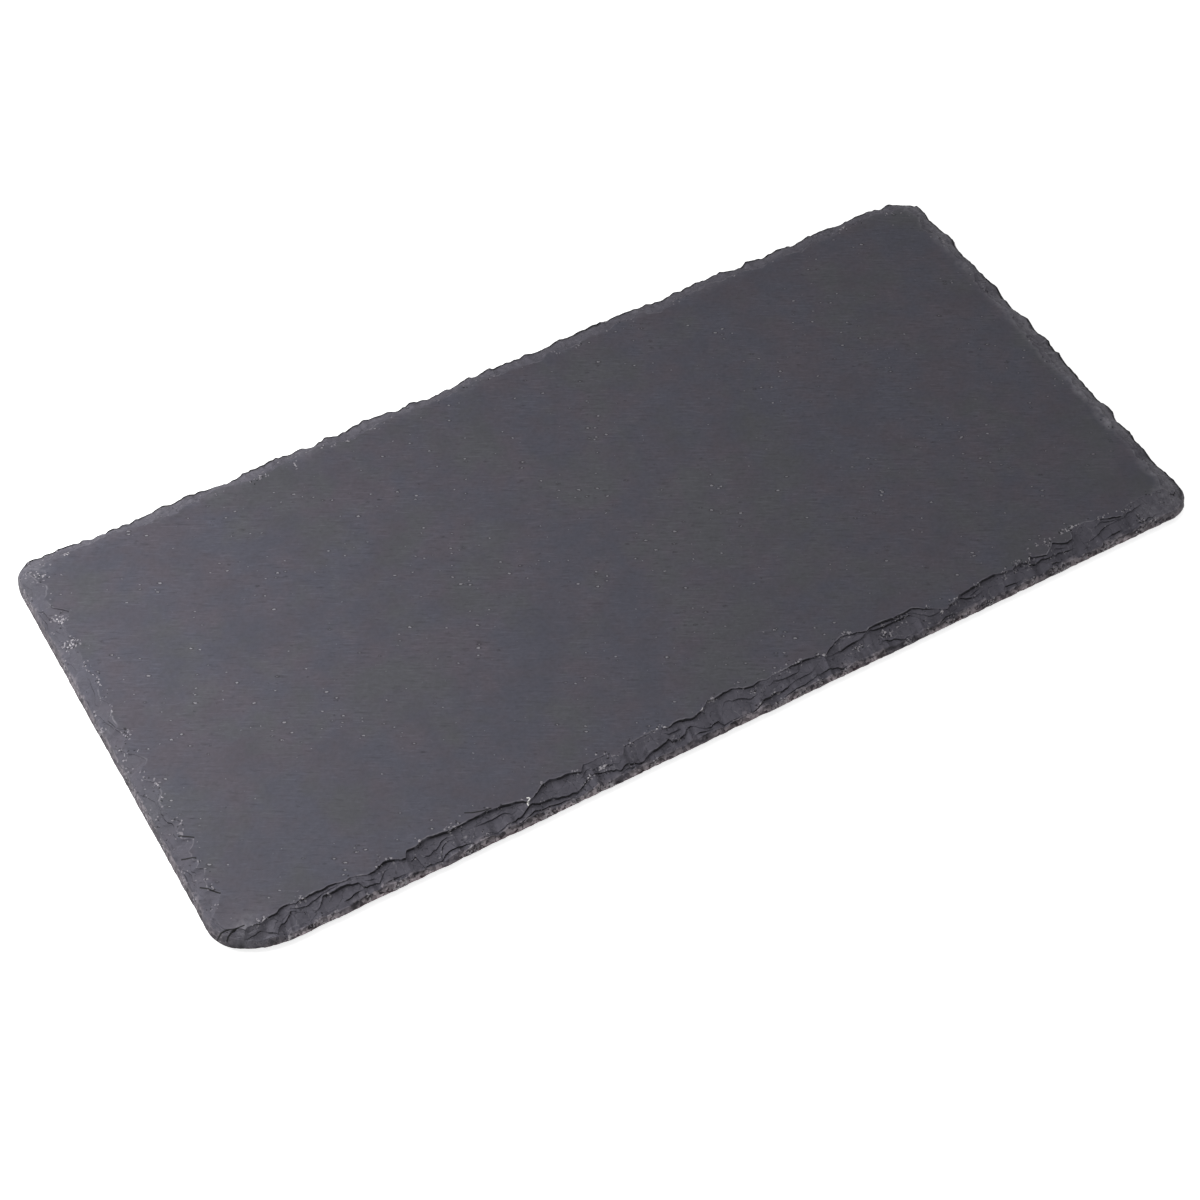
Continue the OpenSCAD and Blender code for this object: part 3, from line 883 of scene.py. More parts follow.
@dataclass(frozen=True)
class DressedEdge:
    """The edge that the hammer left: a crumbly band at the foot, then treads and ledges up to the lip."""

    thickness: float
    under_rim: float = 1.0
    arris: float = 0.6

    # The crumbly band, its knee part of the way up, and the crumbs above it
    band_height: float = 1.9
    band_run: float = 0.9
    band_room: float = 0.7
    knee_in: float = 0.12
    knee_up: float = 0.3
    rim_crumbs: float = 0.5
    rim_fringe: float = 0.55
    knee_fringe: float = 0.15
    band_fade: float = 0.35
    apron: float = 1.2
    foot_spread: float = 0.08
    far_spread: float = 1.8

    # The lip and the ledge, where flakes were struck off
    lip_pitch: float = 11.0
    lip_reach: tuple[float, float] = (5.2, 7.8)
    lip_step: tuple[float, float] = (0.4, 1.0)
    right_step: tuple[float, float] = (0.2, 0.5)
    lip_cusp: float = 5.2
    left_cusp: float = 1.6
    scar_round: float = 1.4
    ledge_pitch: float = 9.0
    ledge_reach: tuple[float, float] = (2.2, 4.4)
    ledge_step: tuple[float, float] = (0.4, 0.9)
    ledge_round: float = 1.9
    ragged: float = 0.4
    front_ragged: float = 0.5

    # The strokes of the front
    stroke_start: float = 0.35
    stroke_end: float = 2.4
    stroke_depth: float = 1.05
    stroke_blend: int = 8

    # Steps and the treads between them
    riser_run: float = 0.1
    riser_slack: float = 0.06
    tread_dip: float = 0.02
    tread_lift: float = 0.01
    shelf_rise: float = 0.4
    shelf_most: float = 0.6
    least_ledge: float = 0.05
    least_step: float = 0.06
    least_tread: float = 0.35
    tread_end: float = 0.12

    # Painted shade in the crevices, which comes and goes and fades on flanks that turn towards the light
    dark_from: float = 0.08
    dark_over: float = 0.25
    tread_shade: float = 0.22
    edge_dark: float = 0.85
    flank_dark: float = 0.8
    flank_least: float = 0.15
    front_flank: float = 0.9
    front_dark: float = 0.25
    shelf_dark: tuple[float, float] = (1.0, 0.5)
    left_rim_dark: float = 0.9
    left_knee_dark: float = 0.5
    corner_dark: float = 1.2

    # The left side is worn: a tall even band, and treads much like a split face
    left_tread: float = 0.58
    left_band: float = 0.8
    left_even: float = 0.75
    left_blend: int = 20

    # The front ends with a clean stretch, and the foot is clean round the corners
    clean_from: float = 290.0
    clean_over: float = 8.0
    clean_least: float = 0.15
    clean_foot: float = 0.5
    clean_corner: int = 5

    TEAR = Uneven(0.0, ((2.6, 0, 1.0), (1.1, 2, 0.9), (4.0, 4, 1.0, True)))
    GAPS = Uneven(0.0, ((3.0, 6, 1.1, True), (1.5, 8, 0.7)))
    SHELF = Uneven(0.0, ((4.5, 0, 0.2), (1.4, 2, 0.07)))
    SHELF_RISE = Uneven(0.0, ((5.0, 4, 1.8),), 0.0, 1.0)
    FOOT = Uneven(0.8, ((2.8, 120, 1.0), (1.2, 122, 0.7)))
    APRON = Uneven(0.35, ((2.2, 158, 1.0),), 0.05, 1.0)
    BAND = Uneven(0.0, ((3.2, 150, 0.4), (1.3, 152, 0.25)))
    CRUMBS = Uneven(0.9, ((5.0, 154, 0.7),), 0.25, 1.0)
    # Painted shade at the knee and at the top of the band
    PIT_SHADE = Uneven(-0.3, ((2.4, 156, 1.5),), 0.0, 0.8)
    HOLLOW_SHADE = Uneven(-0.2, ((1.8, 166, 1.6),), 0.0, 0.8)

    def struck(self, length: float, pitch: float, reach: tuple[float, float], step: tuple[float, float],
               row: int) -> np.ndarray:
        """Scars that follow one another along a side at about the given pitch.

        Args:
            length: Length of the side.
            pitch: Usual distance from scar to scar.
            reach: Least and greatest reach.
            step: Least and greatest height of the ledge.
            row: Number of the set of repeatable values.

        Returns:
            Scar rows.
        """
        count = round(length / pitch)
        width = length / count
        i = np.arange(count)
        start = width * (i - between(0.1, 0.8, chance(i, row)))
        deepest = width * (i + between(0.2, 0.8, chance(i, row + 1)))
        end = width * (i + between(1.1, 1.8, chance(i, row + 2)))
        return np.stack([start, deepest, end, between(*reach, chance(i, row + 3)),
                         between(*step, chance(i, row + 4))], axis=1)

    def shares(self, scars: np.ndarray, marks: np.ndarray, power: float) -> np.ndarray:
        """Share of each scar's full size at each mark.

        Args:
            scars: Scar rows.
            marks: Marks along the side.
            power: How square the scars are.

        Returns:
            Values by scar and mark: 1 at the scar's deepest point and 0 outside it.
        """
        start, deepest, end = (scars[:, i, None] for i in range(3))
        before, after = (deepest - marks) / (deepest - start), (marks - deepest) / (end - deepest)
        away = np.where(marks < deepest, before, after)
        return np.clip(1 - np.abs(away) ** power, 0, None)

    def reach_of(self, scars: np.ndarray, marks: np.ndarray, cusp: float, power: float) -> np.ndarray:
        """Reach of the line that a row of scars leaves, never less than the cusp between two of them."""
        return cusp + np.max((scars[:, 3, None] - cusp) * self.shares(scars, marks, power), axis=0, initial=0)

    def ledge_of(self, scars: np.ndarray, marks: np.ndarray, power: float) -> np.ndarray:
        """Height of the ledge that a row of scars leaves."""
        rises = scars[:, 4, None] * np.sqrt(self.shares(scars, marks, power))
        return np.max(rises, axis=0, initial=self.least_ledge)

    def darkness(self, rise: np.ndarray) -> np.ndarray:
        """How dark the painted shade in the crevice under a step of this height is."""
        return np.clip((rise - self.dark_from) / self.dark_over, 0, 1)

    def stroked(self, strokes: StrokeRows, marks: np.ndarray) -> tuple[np.ndarray, np.ndarray, np.ndarray]:
        """Follows a line stroke by stroke. Its step dies out between strokes, where it runs straight on.

        Args:
            strokes: The strokes, in order.
            marks: Marks along the side.

        Returns:
            Reach of the line, height of its step and how strong the painted shade of its crevice is at each
            mark.
        """
        places = np.array([place for _, stroke in strokes for place in stroke])
        rise = np.full(len(marks), self.least_ledge)
        for depth, stroke in strokes:
            inside = np.minimum(marks - stroke[0][0], stroke[-1][0] - marks)
            share = np.clip(self.stroke_start + inside / self.stroke_end, 0, 1)
            rise = np.maximum(rise, self.stroke_depth * depth * share)
        window = 2 * self.stroke_blend + 1
        blended = np.convolve(np.pad(rise, self.stroke_blend, "edge"), np.full(window, 1 / window), "valid")
        return np.interp(marks, places[:, 0], places[:, 1]), blended, self.darkness(rise)

    def scars(self, length: float, side: Side) -> dict[str, np.ndarray]:
        """All the scars of one side other than the front.

        Args:
            length: Length of the side.
            side: The side.

        Returns:
            Scar rows of the lip, of the ledge and of the bites in the outline.
        """
        if side is Side.LEFT:
            return {"lip": np.array(LEFT_LIP), "ledge": np.array(LEFT_LEDGE), "bite": np.zeros((0, 5))}
        right = side is Side.RIGHT
        step = self.right_step if right else self.lip_step
        return {
            "lip": self.struck(length, self.lip_pitch, self.lip_reach, step, side.value),
            "ledge": self.struck(length, self.ledge_pitch, self.ledge_reach, self.ledge_step,
                                 10 + side.value),
            "bite": np.array(RIGHT_BITE if right else BACK_BITE)}

    def main_lines(self, outline: Outline, columns: Columns) -> dict[str, np.ndarray]:
        """Reaches and heights of the lip, the ledge and the bites as they were struck.

        Args:
            outline: The plan of the slab.
            columns: The columns round the board.

        Returns:
            One array for each line.
        """
        count = len(columns.mark)
        found = {name: np.zeros(count) for name in ("bite", "lip", "lip_rise", "ledge", "ledge_rise")}
        found |= {name: np.ones(count) for name in ("lip_clear", "ledge_clear")}
        front = columns.on(Side.FRONT)
        for name, strokes in (("lip", FRONT_LIP), ("ledge", FRONT_LEDGE)):
            for part, values in zip(("", "_rise", "_clear"), self.stroked(strokes, columns.mark[front])):
                found[name + part][front] = values
        for side in (Side.RIGHT, Side.BACK, Side.LEFT):
            here = columns.on(side)
            marks = columns.mark[here]
            scars = self.scars(outline.side_length(side), side)
            cusp = self.left_cusp if side is Side.LEFT else self.lip_cusp
            found["bite"][here] = self.reach_of(scars["bite"], marks, 0, self.scar_round)
            for name, least, power in (("lip", cusp, self.scar_round), ("ledge", 0, self.ledge_round)):
                found[name][here] = self.reach_of(scars[name], marks, least, power)
                found[f"{name}_rise"][here] = self.ledge_of(scars[name], marks, power)
        return found

    def lines(self, outline: Outline, columns: Columns) -> dict[str, np.ndarray]:
        """Lines of the edge at every column, torn, with painted crevice shade that comes and goes and shelves
        on the treads.

        Args:
            outline: The plan of the slab.
            columns: The columns round the board.

        Returns:
            One array for each line, and for what lies on the band at the foot.
        """
        found = self.main_lines(outline, columns)
        walk, front = columns.walk, columns.on(Side.FRONT)
        # Painted crevice shade: fainter on flanks that turn towards the light, broken by gaps, and stronger
        # on the front
        for name, seed, base, lean in (("lip", 100, 1.1, 0.6), ("ledge", 110, 0.9, 1.2)):
            slope = np.gradient(found[name], walk)
            flank = np.clip(self.flank_dark + lean * slope, self.flank_least, 1)
            seen = np.maximum(flank, self.front_flank * front)
            gaps = np.clip(base + np.where(front, self.front_dark, 0) + self.GAPS.along(walk, seed), 0, 1)
            tear = self.ragged * np.where(front, self.front_ragged, 1) * self.TEAR.along(walk, seed)
            found[name] = found[name] * columns.lip_share + tear
            found[f"{name}_dark"] = found[f"{name}_clear"] * seen * gaps
        clean_end = np.clip((self.clean_from - columns.mark) / self.clean_over, self.clean_least, 1)
        clean_end = np.where(front, clean_end, 1)
        for name, middle, seed in (("low", 0.3, 130), ("high", 0.5, 140)):
            found[f"{name}_shelf"] = middle + self.SHELF.along(walk, seed)
            found[f"{name}_rise"] = self.shelf_rise * clean_end * self.SHELF_RISE.along(walk, seed)

        # The outline spreads at the foot, where a band of uneven height is crushed to crumbs
        spread = self.foot_spread * np.where(columns.on(Side.RIGHT, Side.BACK), self.far_spread, 1)
        found["bite"] = np.clip(found["bite"] + spread * self.FOOT.along(walk), 0, None)
        found["apron"] = self.apron * self.APRON.along(walk)
        reach = range(-self.left_blend, self.left_blend + 1)
        left = np.mean([np.roll(columns.on(Side.LEFT), i) for i in reach], axis=0)
        found["tread"] = 1 - self.left_tread * left
        uneven = (1 - self.left_even * left) * self.BAND.along(walk)
        found["band"] = (1 + self.left_band * left) * (1 + uneven)
        clean = np.maximum(clean_end, self.clean_foot) * columns.lip_share ** self.clean_corner
        found["foot"] = found["tread"] * clean
        found["crumbs"] = self.CRUMBS.along(walk) * found["foot"]
        # Blotches of painted shade at the knee of the band and at its top, as if in pits and hollows
        found["pits"] = self.PIT_SHADE.along(walk)
        found["hollows"] = self.HOLLOW_SHADE.along(walk) * found["foot"]

        # The ring closes where its last column, a copy of the first, has the same values
        for values in found.values():
            values[-1] = values[0]
        return found

    def riser(self, reach: np.ndarray, foot: np.ndarray, top: np.ndarray, room: np.ndarray,
              depth: np.ndarray | float, broken: np.ndarray, rows: int) -> list[Knot]:
        """Lines of one step: the end of the lower tread, the crevice with its painted shade, the edge and the
        next tread.

        Args:
            reach: Reach of the step.
            foot: Height of the tread below it.
            top: Height of the tread above it.
            room: How much of the treads on either side the step may take.
            depth: How dark the painted shade of its crevice is when the step is high.
            broken: How much the treads differ from a split face.
            rows: Rows of faces from the start of the tread above to the next step.

        Returns:
            Four knots.
        """
        dark = np.clip(depth, 0, 1) * self.darkness(top - foot)
        slack = np.minimum(self.riser_slack, room)
        return [
            Knot(reach - slack, foot - self.tread_dip, 1, broken=broken, crevice_shade=self.tread_shade * dark),
            Knot(reach, foot, 1, broken=broken, crevice_shade=dark),
            Knot(reach + self.riser_run, top, 1, broken=broken, crevice_shade=self.edge_dark * dark),
            Knot(reach + self.riser_run + slack, top + self.tread_lift, rows, broken=broken)]

    def knots(self, line: dict[str, np.ndarray], columns: Columns) -> list[Knot]:
        """Lines of the edge from just inside the underside's rim to the upper face, going up.

        Args:
            line: The lines of the edge at every column.
            columns: The columns round the board.

        Returns:
            The knots.
        """
        bite = line["bite"]
        band_in = bite + self.band_run
        band_top = np.minimum(self.band_height * line["band"], self.thickness - self.band_room)
        lip = np.maximum(line["lip"], band_in + 3 * self.least_tread)
        lip_foot = self.thickness - line["lip_rise"]
        ledge = np.clip(line["ledge"], band_in + self.least_tread, lip - self.least_tread)
        slope = (lip_foot - band_top) / (lip - band_in)
        level = band_top + slope * (ledge - band_in)
        ledge_foot = np.maximum(level - line["ledge_rise"] / 2, band_top + self.least_step)
        ledge_top = np.minimum(level + line["ledge_rise"] / 2, lip_foot - self.least_step)
        ledge_top = np.maximum(ledge_top, ledge_foot + self.least_step)

        low_room, high_room = ledge - band_in, lip - ledge
        low_rise = np.minimum(line["low_rise"], self.shelf_most * (ledge_foot - band_top))
        low_foot = band_top + (ledge_foot - band_top - low_rise) * line["low_shelf"]
        high_rise = np.minimum(line["high_rise"], self.shelf_most * (lip_foot - ledge_top))
        high_foot = ledge_top + (lip_foot - ledge_top - high_rise) * line["high_shelf"]
        top = np.full(len(bite), self.thickness)
        low_end, high_end = self.tread_end * low_room, self.tread_end * high_room
        steps = (
            (band_in + low_room * line["low_shelf"], low_foot, low_foot + low_rise, low_end,
             self.shelf_dark[0]),
            (ledge, ledge_foot, ledge_top, np.minimum(low_end, high_end), line["ledge_dark"]),
            (ledge + high_room * line["high_shelf"], high_foot, high_foot + high_rise, high_end,
             self.shelf_dark[1]),
            (lip, lip_foot, top, high_end, line["lip_dark"]))

        tread, crumbs = line["tread"], line["crumbs"]
        under = np.zeros(len(bite))
        left = columns.on(Side.LEFT)
        # Painted shade along the rim of the left side and of the trimmed corners, and at the knee of the band
        rim_dark = np.maximum(self.left_rim_dark * left, self.corner_dark * (1 - columns.lip_share))
        knee_dark = np.maximum(line["pits"], self.left_knee_dark * left)
        tread_up = band_top + self.tread_end * (low_foot - band_top)
        return [
            Knot(bite + self.under_rim, under, 1),
            Knot(bite, under, 2, broken=1.0, crumbs=np.maximum(crumbs, self.rim_crumbs),
                 fringe=self.rim_fringe, crevice_shade=rim_dark),
            Knot(bite + self.knee_in * self.band_run, self.knee_up * band_top, 3, broken=1.0, crumbs=crumbs,
                 fringe=self.knee_fringe, crevice_shade=knee_dark),
            Knot(band_in, band_top, 1, broken=tread, crumbs=self.band_fade * crumbs, crevice_shade=line["hollows"]),
            Knot(band_in + low_end, tread_up, 1, broken=tread),
            *(knot for step, rows in zip(steps, (2, 2, 2, 1)) for knot in self.riser(*step, tread, rows)),
            Knot(lip + self.arris, top, 6)]


@dataclass
class Slab:
    """The slab of slate: its outline, its dressed edge and its two split faces, as one closed mesh.

    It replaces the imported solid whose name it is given, and takes its height and thickness from it.
    """

    node: str
    spine_step: float = 2.5
    field_rows: int = 6
    under_rows: int = 5
    swell: float = 0.12
    swell_size: float = 46.0
    coarse_chip: float = 2.2
    fine_chip: float = 0.9
    crumb_relief: tuple[float, float] = (0.09, 0.05)
    tread_relief: tuple[float, float] = (0.06, 0.02)
    sharp: float = 30.0

    # Bruises by chance, stronger on the front: how far inside their line they lie, and half their width
    front_bruise: float = 0.8
    side_bruise: float = 0.4
    lip_bruise: tuple[float, float] = (0.3, 1.0)
    ledge_bruise: tuple[float, float] = (0.2, 0.6)
    foot_bruise: tuple[float, float] = (0.0, 1.2)

    # A thin black line of painted shade along the outer rim of the far sides' treads
    arris_shade_start: float = 1.9
    arris_shade_run: float = 0.45
    arris_shade_corner: int = 4

    # Dust and painted light: dust on the clean end of the front, painted light round the corners, dust and
    # painted light on the far sides up to an end, and a painted highlight by the lip
    dust_front: float = 1.2
    dust_from: float = 281.0
    dust_over: float = 5.0
    corner_light: float = 3.2
    dust_and_light_end: float = 8.5
    right_light_end: float = 8.6
    dust_and_light_fade: float = 0.6
    arris_in: float = 0.2
    arris_half: float = 0.15

    MASKS = ("broken", "crevice_shade", "crumbs", "fringe", "bruise", "dust_and_light")
    # Dust and painted light on each side; the right side's is mostly painted light where its treads turn from
    # the light
    DUST_AND_LIGHT = {Side.FRONT: 0.0, Side.RIGHT: 2.1, Side.BACK: 0.5, Side.LEFT: 0.0}
    FLECKS = {Side.FRONT: FRONT_FLECKS, Side.LEFT: LEFT_FLECKS, Side.BACK: BACK_FLECKS,
              Side.RIGHT: RIGHT_FLECKS}
    LIP_BRUISES = Uneven(-0.15, ((2.4, 160, 1.2),), 0.0, 0.8)
    LEDGE_BRUISES = Uneven(-0.2, ((2.0, 164, 1.2),), 0.0, 0.7)
    FOOT_BRUISES = Uneven(0.1, ((3.0, 162, 1.8),), 0.0, 1.0)
    DUST_AND_LIGHT_PATCHES = Uneven(0.8, ((6.0, 170, 0.5),), 0.0, 1.2)
    DUST_AND_LIGHT_EDGE = Uneven(0.0, ((4.0, 172, 1.0),))
    ARRIS_HIGHLIGHT = Uneven(0.2, ((2.6, 174, 1.2),), 0.0, 1.0)

    def __post_init__(self) -> None:
        """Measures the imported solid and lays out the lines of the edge."""
        low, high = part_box(self.node)
        self.bottom = low.z * METRE
        self.outline = Outline()
        self.edge = DressedEdge(thickness=(high.z - low.z) * METRE)
        self.columns = Columns.round_board(self.outline)
        self.line = self.edge.lines(self.outline, self.columns)

    def spine(self) -> np.ndarray:
        """Point on the board's middle line that each column runs to, on a lattice that facing columns share.

        Returns:
            X and Y for each column.
        """
        half = (self.outline.length - self.outline.width) / 2
        x = np.clip(self.columns.field[:, 0], -half, half)
        x = np.round(x / self.spine_step) * self.spine_step
        return np.stack([x, np.zeros(len(x))], axis=1)

    def edge_grid(self) -> tuple[np.ndarray, np.ndarray, dict[str, np.ndarray]]:
        """Reach, height and masks of every row from the underside's rim to the edge of the field.

        Returns:
            Reaches and heights by column and row, and the masks by name.
        """
        knots = self.edge.knots(self.line, self.columns)
        count = len(self.columns.mark)
        thickness = np.full(count, self.edge.thickness)
        knots.append(Knot(np.full(count, self.outline.field_inset), thickness, 0))
        names = ("reach", "height", *self.MASKS[:4])
        rows: dict[str, list[np.ndarray]] = {name: [] for name in names}
        for knot, following in zip(knots, knots[1:]):
            for i, name in product(range(knot.rows), names):
                value = between(getattr(knot, name), getattr(following, name), i / knot.rows)
                rows[name].append(np.broadcast_to(value, count))
        for name in names:
            rows[name].append(np.broadcast_to(getattr(knots[-1], name), count))
        grid = {name: np.stack(values, axis=1) for name, values in rows.items()}
        return grid.pop("reach"), grid.pop("height"), grid

    def bruises(self, reach: np.ndarray) -> np.ndarray:
        """Where the stone is bruised: the marked flecks, and small ones by the lip, the ledge and the foot.

        Args:
            reach: Reach of every point of the edge.

        Returns:
            Strength of the bruise at every point.
        """
        walk = self.columns.walk
        near = np.where(self.columns.on(Side.FRONT), self.front_bruise, self.side_bruise)
        bands = ((self.line["lip"], self.lip_bruise, near * self.LIP_BRUISES.along(walk)),
                 (self.line["ledge"], self.ledge_bruise, near * self.LEDGE_BRUISES.along(walk)),
                 (np.zeros(len(walk)), self.foot_bruise, self.FOOT_BRUISES.along(walk) * self.line["foot"]))
        bruise = np.zeros(reach.shape)
        for line, (inward, half), strength in bands:
            spread = ((reach - line[:, None] - inward) / half) ** 2
            bruise = np.maximum(bruise, strength[:, None] * np.exp(-spread))
        marks = np.broadcast_to(self.columns.mark[:, None], reach.shape)
        for side, flecks in self.FLECKS.items():
            here = self.columns.on(side)
            for along, inward, half_length, half_width, strength in flecks:
                spread = ((marks[here] - along) / half_length) ** 2
                spread = spread + ((reach[here] - inward) / half_width) ** 2
                bruise[here] = np.maximum(bruise[here], strength * np.exp(-spread))
        return bruise

    def rim(self, reach: np.ndarray) -> tuple[np.ndarray, np.ndarray]:
        """How the rim of the treads is coated: crumbs run up from the band, and painted shade makes the far
        arris black.

        Args:
            reach: Reach of every point of the edge.

        Returns:
            Strength of the crumbs and of the painted shade at every point.
        """
        line = {name: values[:, None] for name, values in self.line.items()}
        inner = reach - (line["bite"] + self.edge.band_run)
        on_tread = inner > -0.01
        crumbs = self.edge.band_fade * line["crumbs"] * np.clip(1 - inner / line["apron"], 0, 1)
        far = self.columns.on(Side.RIGHT, Side.BACK) * self.columns.lip_share ** self.arris_shade_corner
        shade_black = far[:, None] * np.clip(self.arris_shade_start - inner / self.arris_shade_run, 0, 1)
        return on_tread * crumbs, on_tread * shade_black

    def dust_and_light(self, reach: np.ndarray) -> np.ndarray:
        """Where the treads are paler with dust from the dressing and with painted light: most on the far
        sides, in uneven patches.

        Args:
            reach: Reach of every point of the edge.

        Returns:
            Strength of the dust and painted light at every point.
        """
        columns, walk = self.columns, self.columns.walk
        clean_end = np.clip((columns.mark - self.dust_from) / self.dust_over, 0, 1)
        amount = np.array([self.DUST_AND_LIGHT[side] for side in Side])[columns.side]
        amount = np.where(columns.on(Side.FRONT), self.dust_front * clean_end, amount)
        amount = np.maximum(amount, self.corner_light * (1 - columns.lip_share))
        inner_end = np.where(columns.on(Side.RIGHT), self.right_light_end, self.dust_and_light_end)
        inner_end = inner_end + self.DUST_AND_LIGHT_EDGE.along(walk)
        fade = np.clip((1 - reach / inner_end[:, None]) / self.dust_and_light_fade, 0, 1)
        # A painted highlight along the arris just inside the lip
        on_arris = np.abs(reach - self.line["lip"][:, None] - self.arris_in) < self.arris_half
        arris = self.ARRIS_HIGHLIGHT.along(walk)[:, None] * on_arris
        return np.maximum((amount * self.DUST_AND_LIGHT_PATCHES.along(walk))[:, None] * fade, arris)

    def positions(self) -> tuple[np.ndarray, dict[str, np.ndarray]]:
        """Places every point of the wrapped grid and gives it its masks.

        Returns:
            Points in millimetres by column and row, and the masks by name.
        """
        reach, height, masks = self.edge_grid()
        masks["bruise"] = self.bruises(reach)
        masks["dust_and_light"] = self.dust_and_light(reach)
        for name, strength in zip(("crumbs", "crevice_shade"), self.rim(reach)):
            masks[name] = np.maximum(masks[name], strength)

        # The first row lies on the underside, which is a clean split face
        for mask in masks.values():
            mask[:, 0] = 0

        # Chips of the broken stone, coarse and fine, which only ever take stone away at the foot
        rim = self.columns.rim[:, None, :]
        inward = ((self.columns.field - self.columns.rim) / self.outline.field_inset)[:, None, :]
        flat = rim + inward * reach[:, :, None]
        places = np.concatenate([flat, 2 * height[:, :, None]], axis=2).reshape(-1, 3)
        coarse = chips(places, self.coarse_chip, 3).reshape(reach.shape)
        fine = chips(places, self.fine_chip, 13).reshape(reach.shape)
        crumbs = masks["crumbs"]
        treads = masks["broken"] * (1 - crumbs)
        reach = reach + crumbs * (self.crumb_relief[0] * (1 + coarse) + self.crumb_relief[1] * (1 + fine))
        height = height + treads * (self.tread_relief[0] * coarse + self.tread_relief[1] * fine)
        height = np.clip(height, 0, self.edge.thickness)
        flat = rim + inward * reach[:, :, None]

        spine = self.spine()
        over = [between(self.columns.field, spine, (i + 1) / self.field_rows) for i in range(self.field_rows)]
        under = [between(flat[:, 0], spine, (self.under_rows - i) / self.under_rows)
                 for i in range(self.under_rows)]
        plan = np.concatenate([np.stack(under, axis=1), flat, np.stack(over, axis=1)], axis=1)
        count = len(plan)
        levels = np.concatenate([np.zeros((count, self.under_rows)), height,
                                 np.full((count, self.field_rows), self.edge.thickness)], axis=1)
        swell = drift(plan.reshape(-1, 2), self.swell_size, 8).reshape(levels.shape)
        levels = levels - self.swell * (levels / self.edge.thickness) * np.clip(0.5 + swell, 0, 1)
        points = np.concatenate([plan, self.bottom + levels[:, :, None]], axis=2)
        padding = ((0, 0), (self.under_rows, self.field_rows))
        return points, {name: np.pad(mask, padding) for name, mask in masks.items()}

    def build(self, finish: RivenSlate) -> bpy.types.Object:
        """Wraps a grid round the board, closes it and dresses it.

        Args:
            finish: The slate's finish.

        Returns:
            The slab.
        """
        points, masks = self.positions()
        columns, rows = points.shape[:2]
        shape = bmesh.new()
        bmesh.ops.create_grid(shape, x_segments=columns - 1, y_segments=rows - 1, size=1.0)
        layers = {name: shape.verts.layers.float.new(name) for name in self.MASKS}
        for vertex in shape.verts:
            column = round((vertex.co.x + 1) / 2 * (columns - 1))
            row = round((vertex.co.y + 1) / 2 * (rows - 1))
            vertex.co = Vector(points[column, row]) / METRE
            for name, layer in layers.items():
                vertex[layer] = float(masks[name][column, row])
        bmesh.ops.remove_doubles(shape, verts=shape.verts, dist=0.002 / METRE)
        bmesh.ops.recalc_face_normals(shape, faces=shape.faces)
        slab = finished_piece("slate_slab", shape, finish.make())
        slab.data.set_sharp_from_angle(angle=math.radians(self.sharp))
        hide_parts(self.node)
        return slab


def placed(name: str, shape: bmesh.types.BMesh, material: bpy.types.Material) -> bpy.types.Object:
    """Turns a bmesh to an object at the origin.

    Args:
        name: Name of the object.
        shape: Its shape in metres. It is freed.
        material: Its material.

    Returns:
        The object.
    """
    mesh = bpy.data.meshes.new(name)
    shape.to_mesh(mesh)
    shape.free()
    mesh.materials.append(material)
    thing = bpy.data.objects.new(name, mesh)
    bpy.context.scene.collection.objects.link(thing)
    return thing


def finished_piece(name: str, shape: bmesh.types.BMesh, material: bpy.types.Material) -> bpy.types.Object:
    """Turns a finished bmesh to a piece that rides on the board.

    Args:
        name: Name of the piece.
        shape: Its shape, in metres in the board's frame. It is freed.
        material: Its material.

    Returns:
        The piece, smooth shaded.
    """
    piece = placed(name, shape, material)
    piece.data.shade_smooth()
    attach(piece, BODY)
    return piece


@dataclass(frozen=True)
class FootPad:
    """One die-cut pad: a low drum, drawn in a little at its waist by the cutter, with rounded rims."""

    node: str
    rim: float = 0.3
    waist: float = 0.12
    turn_steps: int = 96
    rim_steps: int = 4

    def profile(self, radius: float, height: float) -> list[tuple[float, float]]:
        """Half section of the pad, from the middle of its sole to the middle of its top.

        Args:
            radius: Radius of the pad.
            height: Height of the pad.

        Returns:
            Distances from the axis and heights.
        """
        turns = [math.radians(90) * i / self.rim_steps for i in range(self.rim_steps + 1)]
        flat, rise = radius - self.rim, self.rim / 2
        sole = [(flat + self.rim * math.sin(t), self.rim - self.rim * math.cos(t)) for t in turns]
        middle = (radius - self.waist, height / 2)
        top = [(flat + self.rim * math.cos(t), height - rise + rise * math.sin(t)) for t in turns]
        inner = radius / 2
        return [(0.0, 0.0), (inner, 0.0), *sole, middle, *top, (inner, height), (0.0, height)]

    def build(self, material: bpy.types.Material) -> bpy.types.Object:
        """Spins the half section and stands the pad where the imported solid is.

        Args:
            material: The rubber.

        Returns:
            The pad.
        """
        low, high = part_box(self.node)
        section = self.profile((high.x - low.x) / 2 * METRE, (high.z - low.z) * METRE)
        pad = bmesh.new()
        points = [pad.verts.new(Vector((r, 0, z)) / METRE) for r, z in section]
        edges = [pad.edges.new(pair) for pair in zip(points, points[1:])]
        bmesh.ops.spin(pad, geom=[*points, *edges], axis=(0, 0, 1), cent=(0, 0, 0), angle=math.tau,
                       steps=self.turn_steps, use_merge=True)
        bmesh.ops.remove_doubles(pad, verts=pad.verts, dist=0.001 / METRE)
        bmesh.ops.recalc_face_normals(pad, faces=pad.faces)
        middle = (low + high) / 2
        bmesh.ops.translate(pad, verts=pad.verts, vec=Vector((middle.x, middle.y, low.z)))
        piece = finished_piece(self.node.replace("foot", "pad"), pad, material)
        piece.data.set_sharp_from_angle(angle=math.radians(50))
        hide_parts(self.node)
        return piece


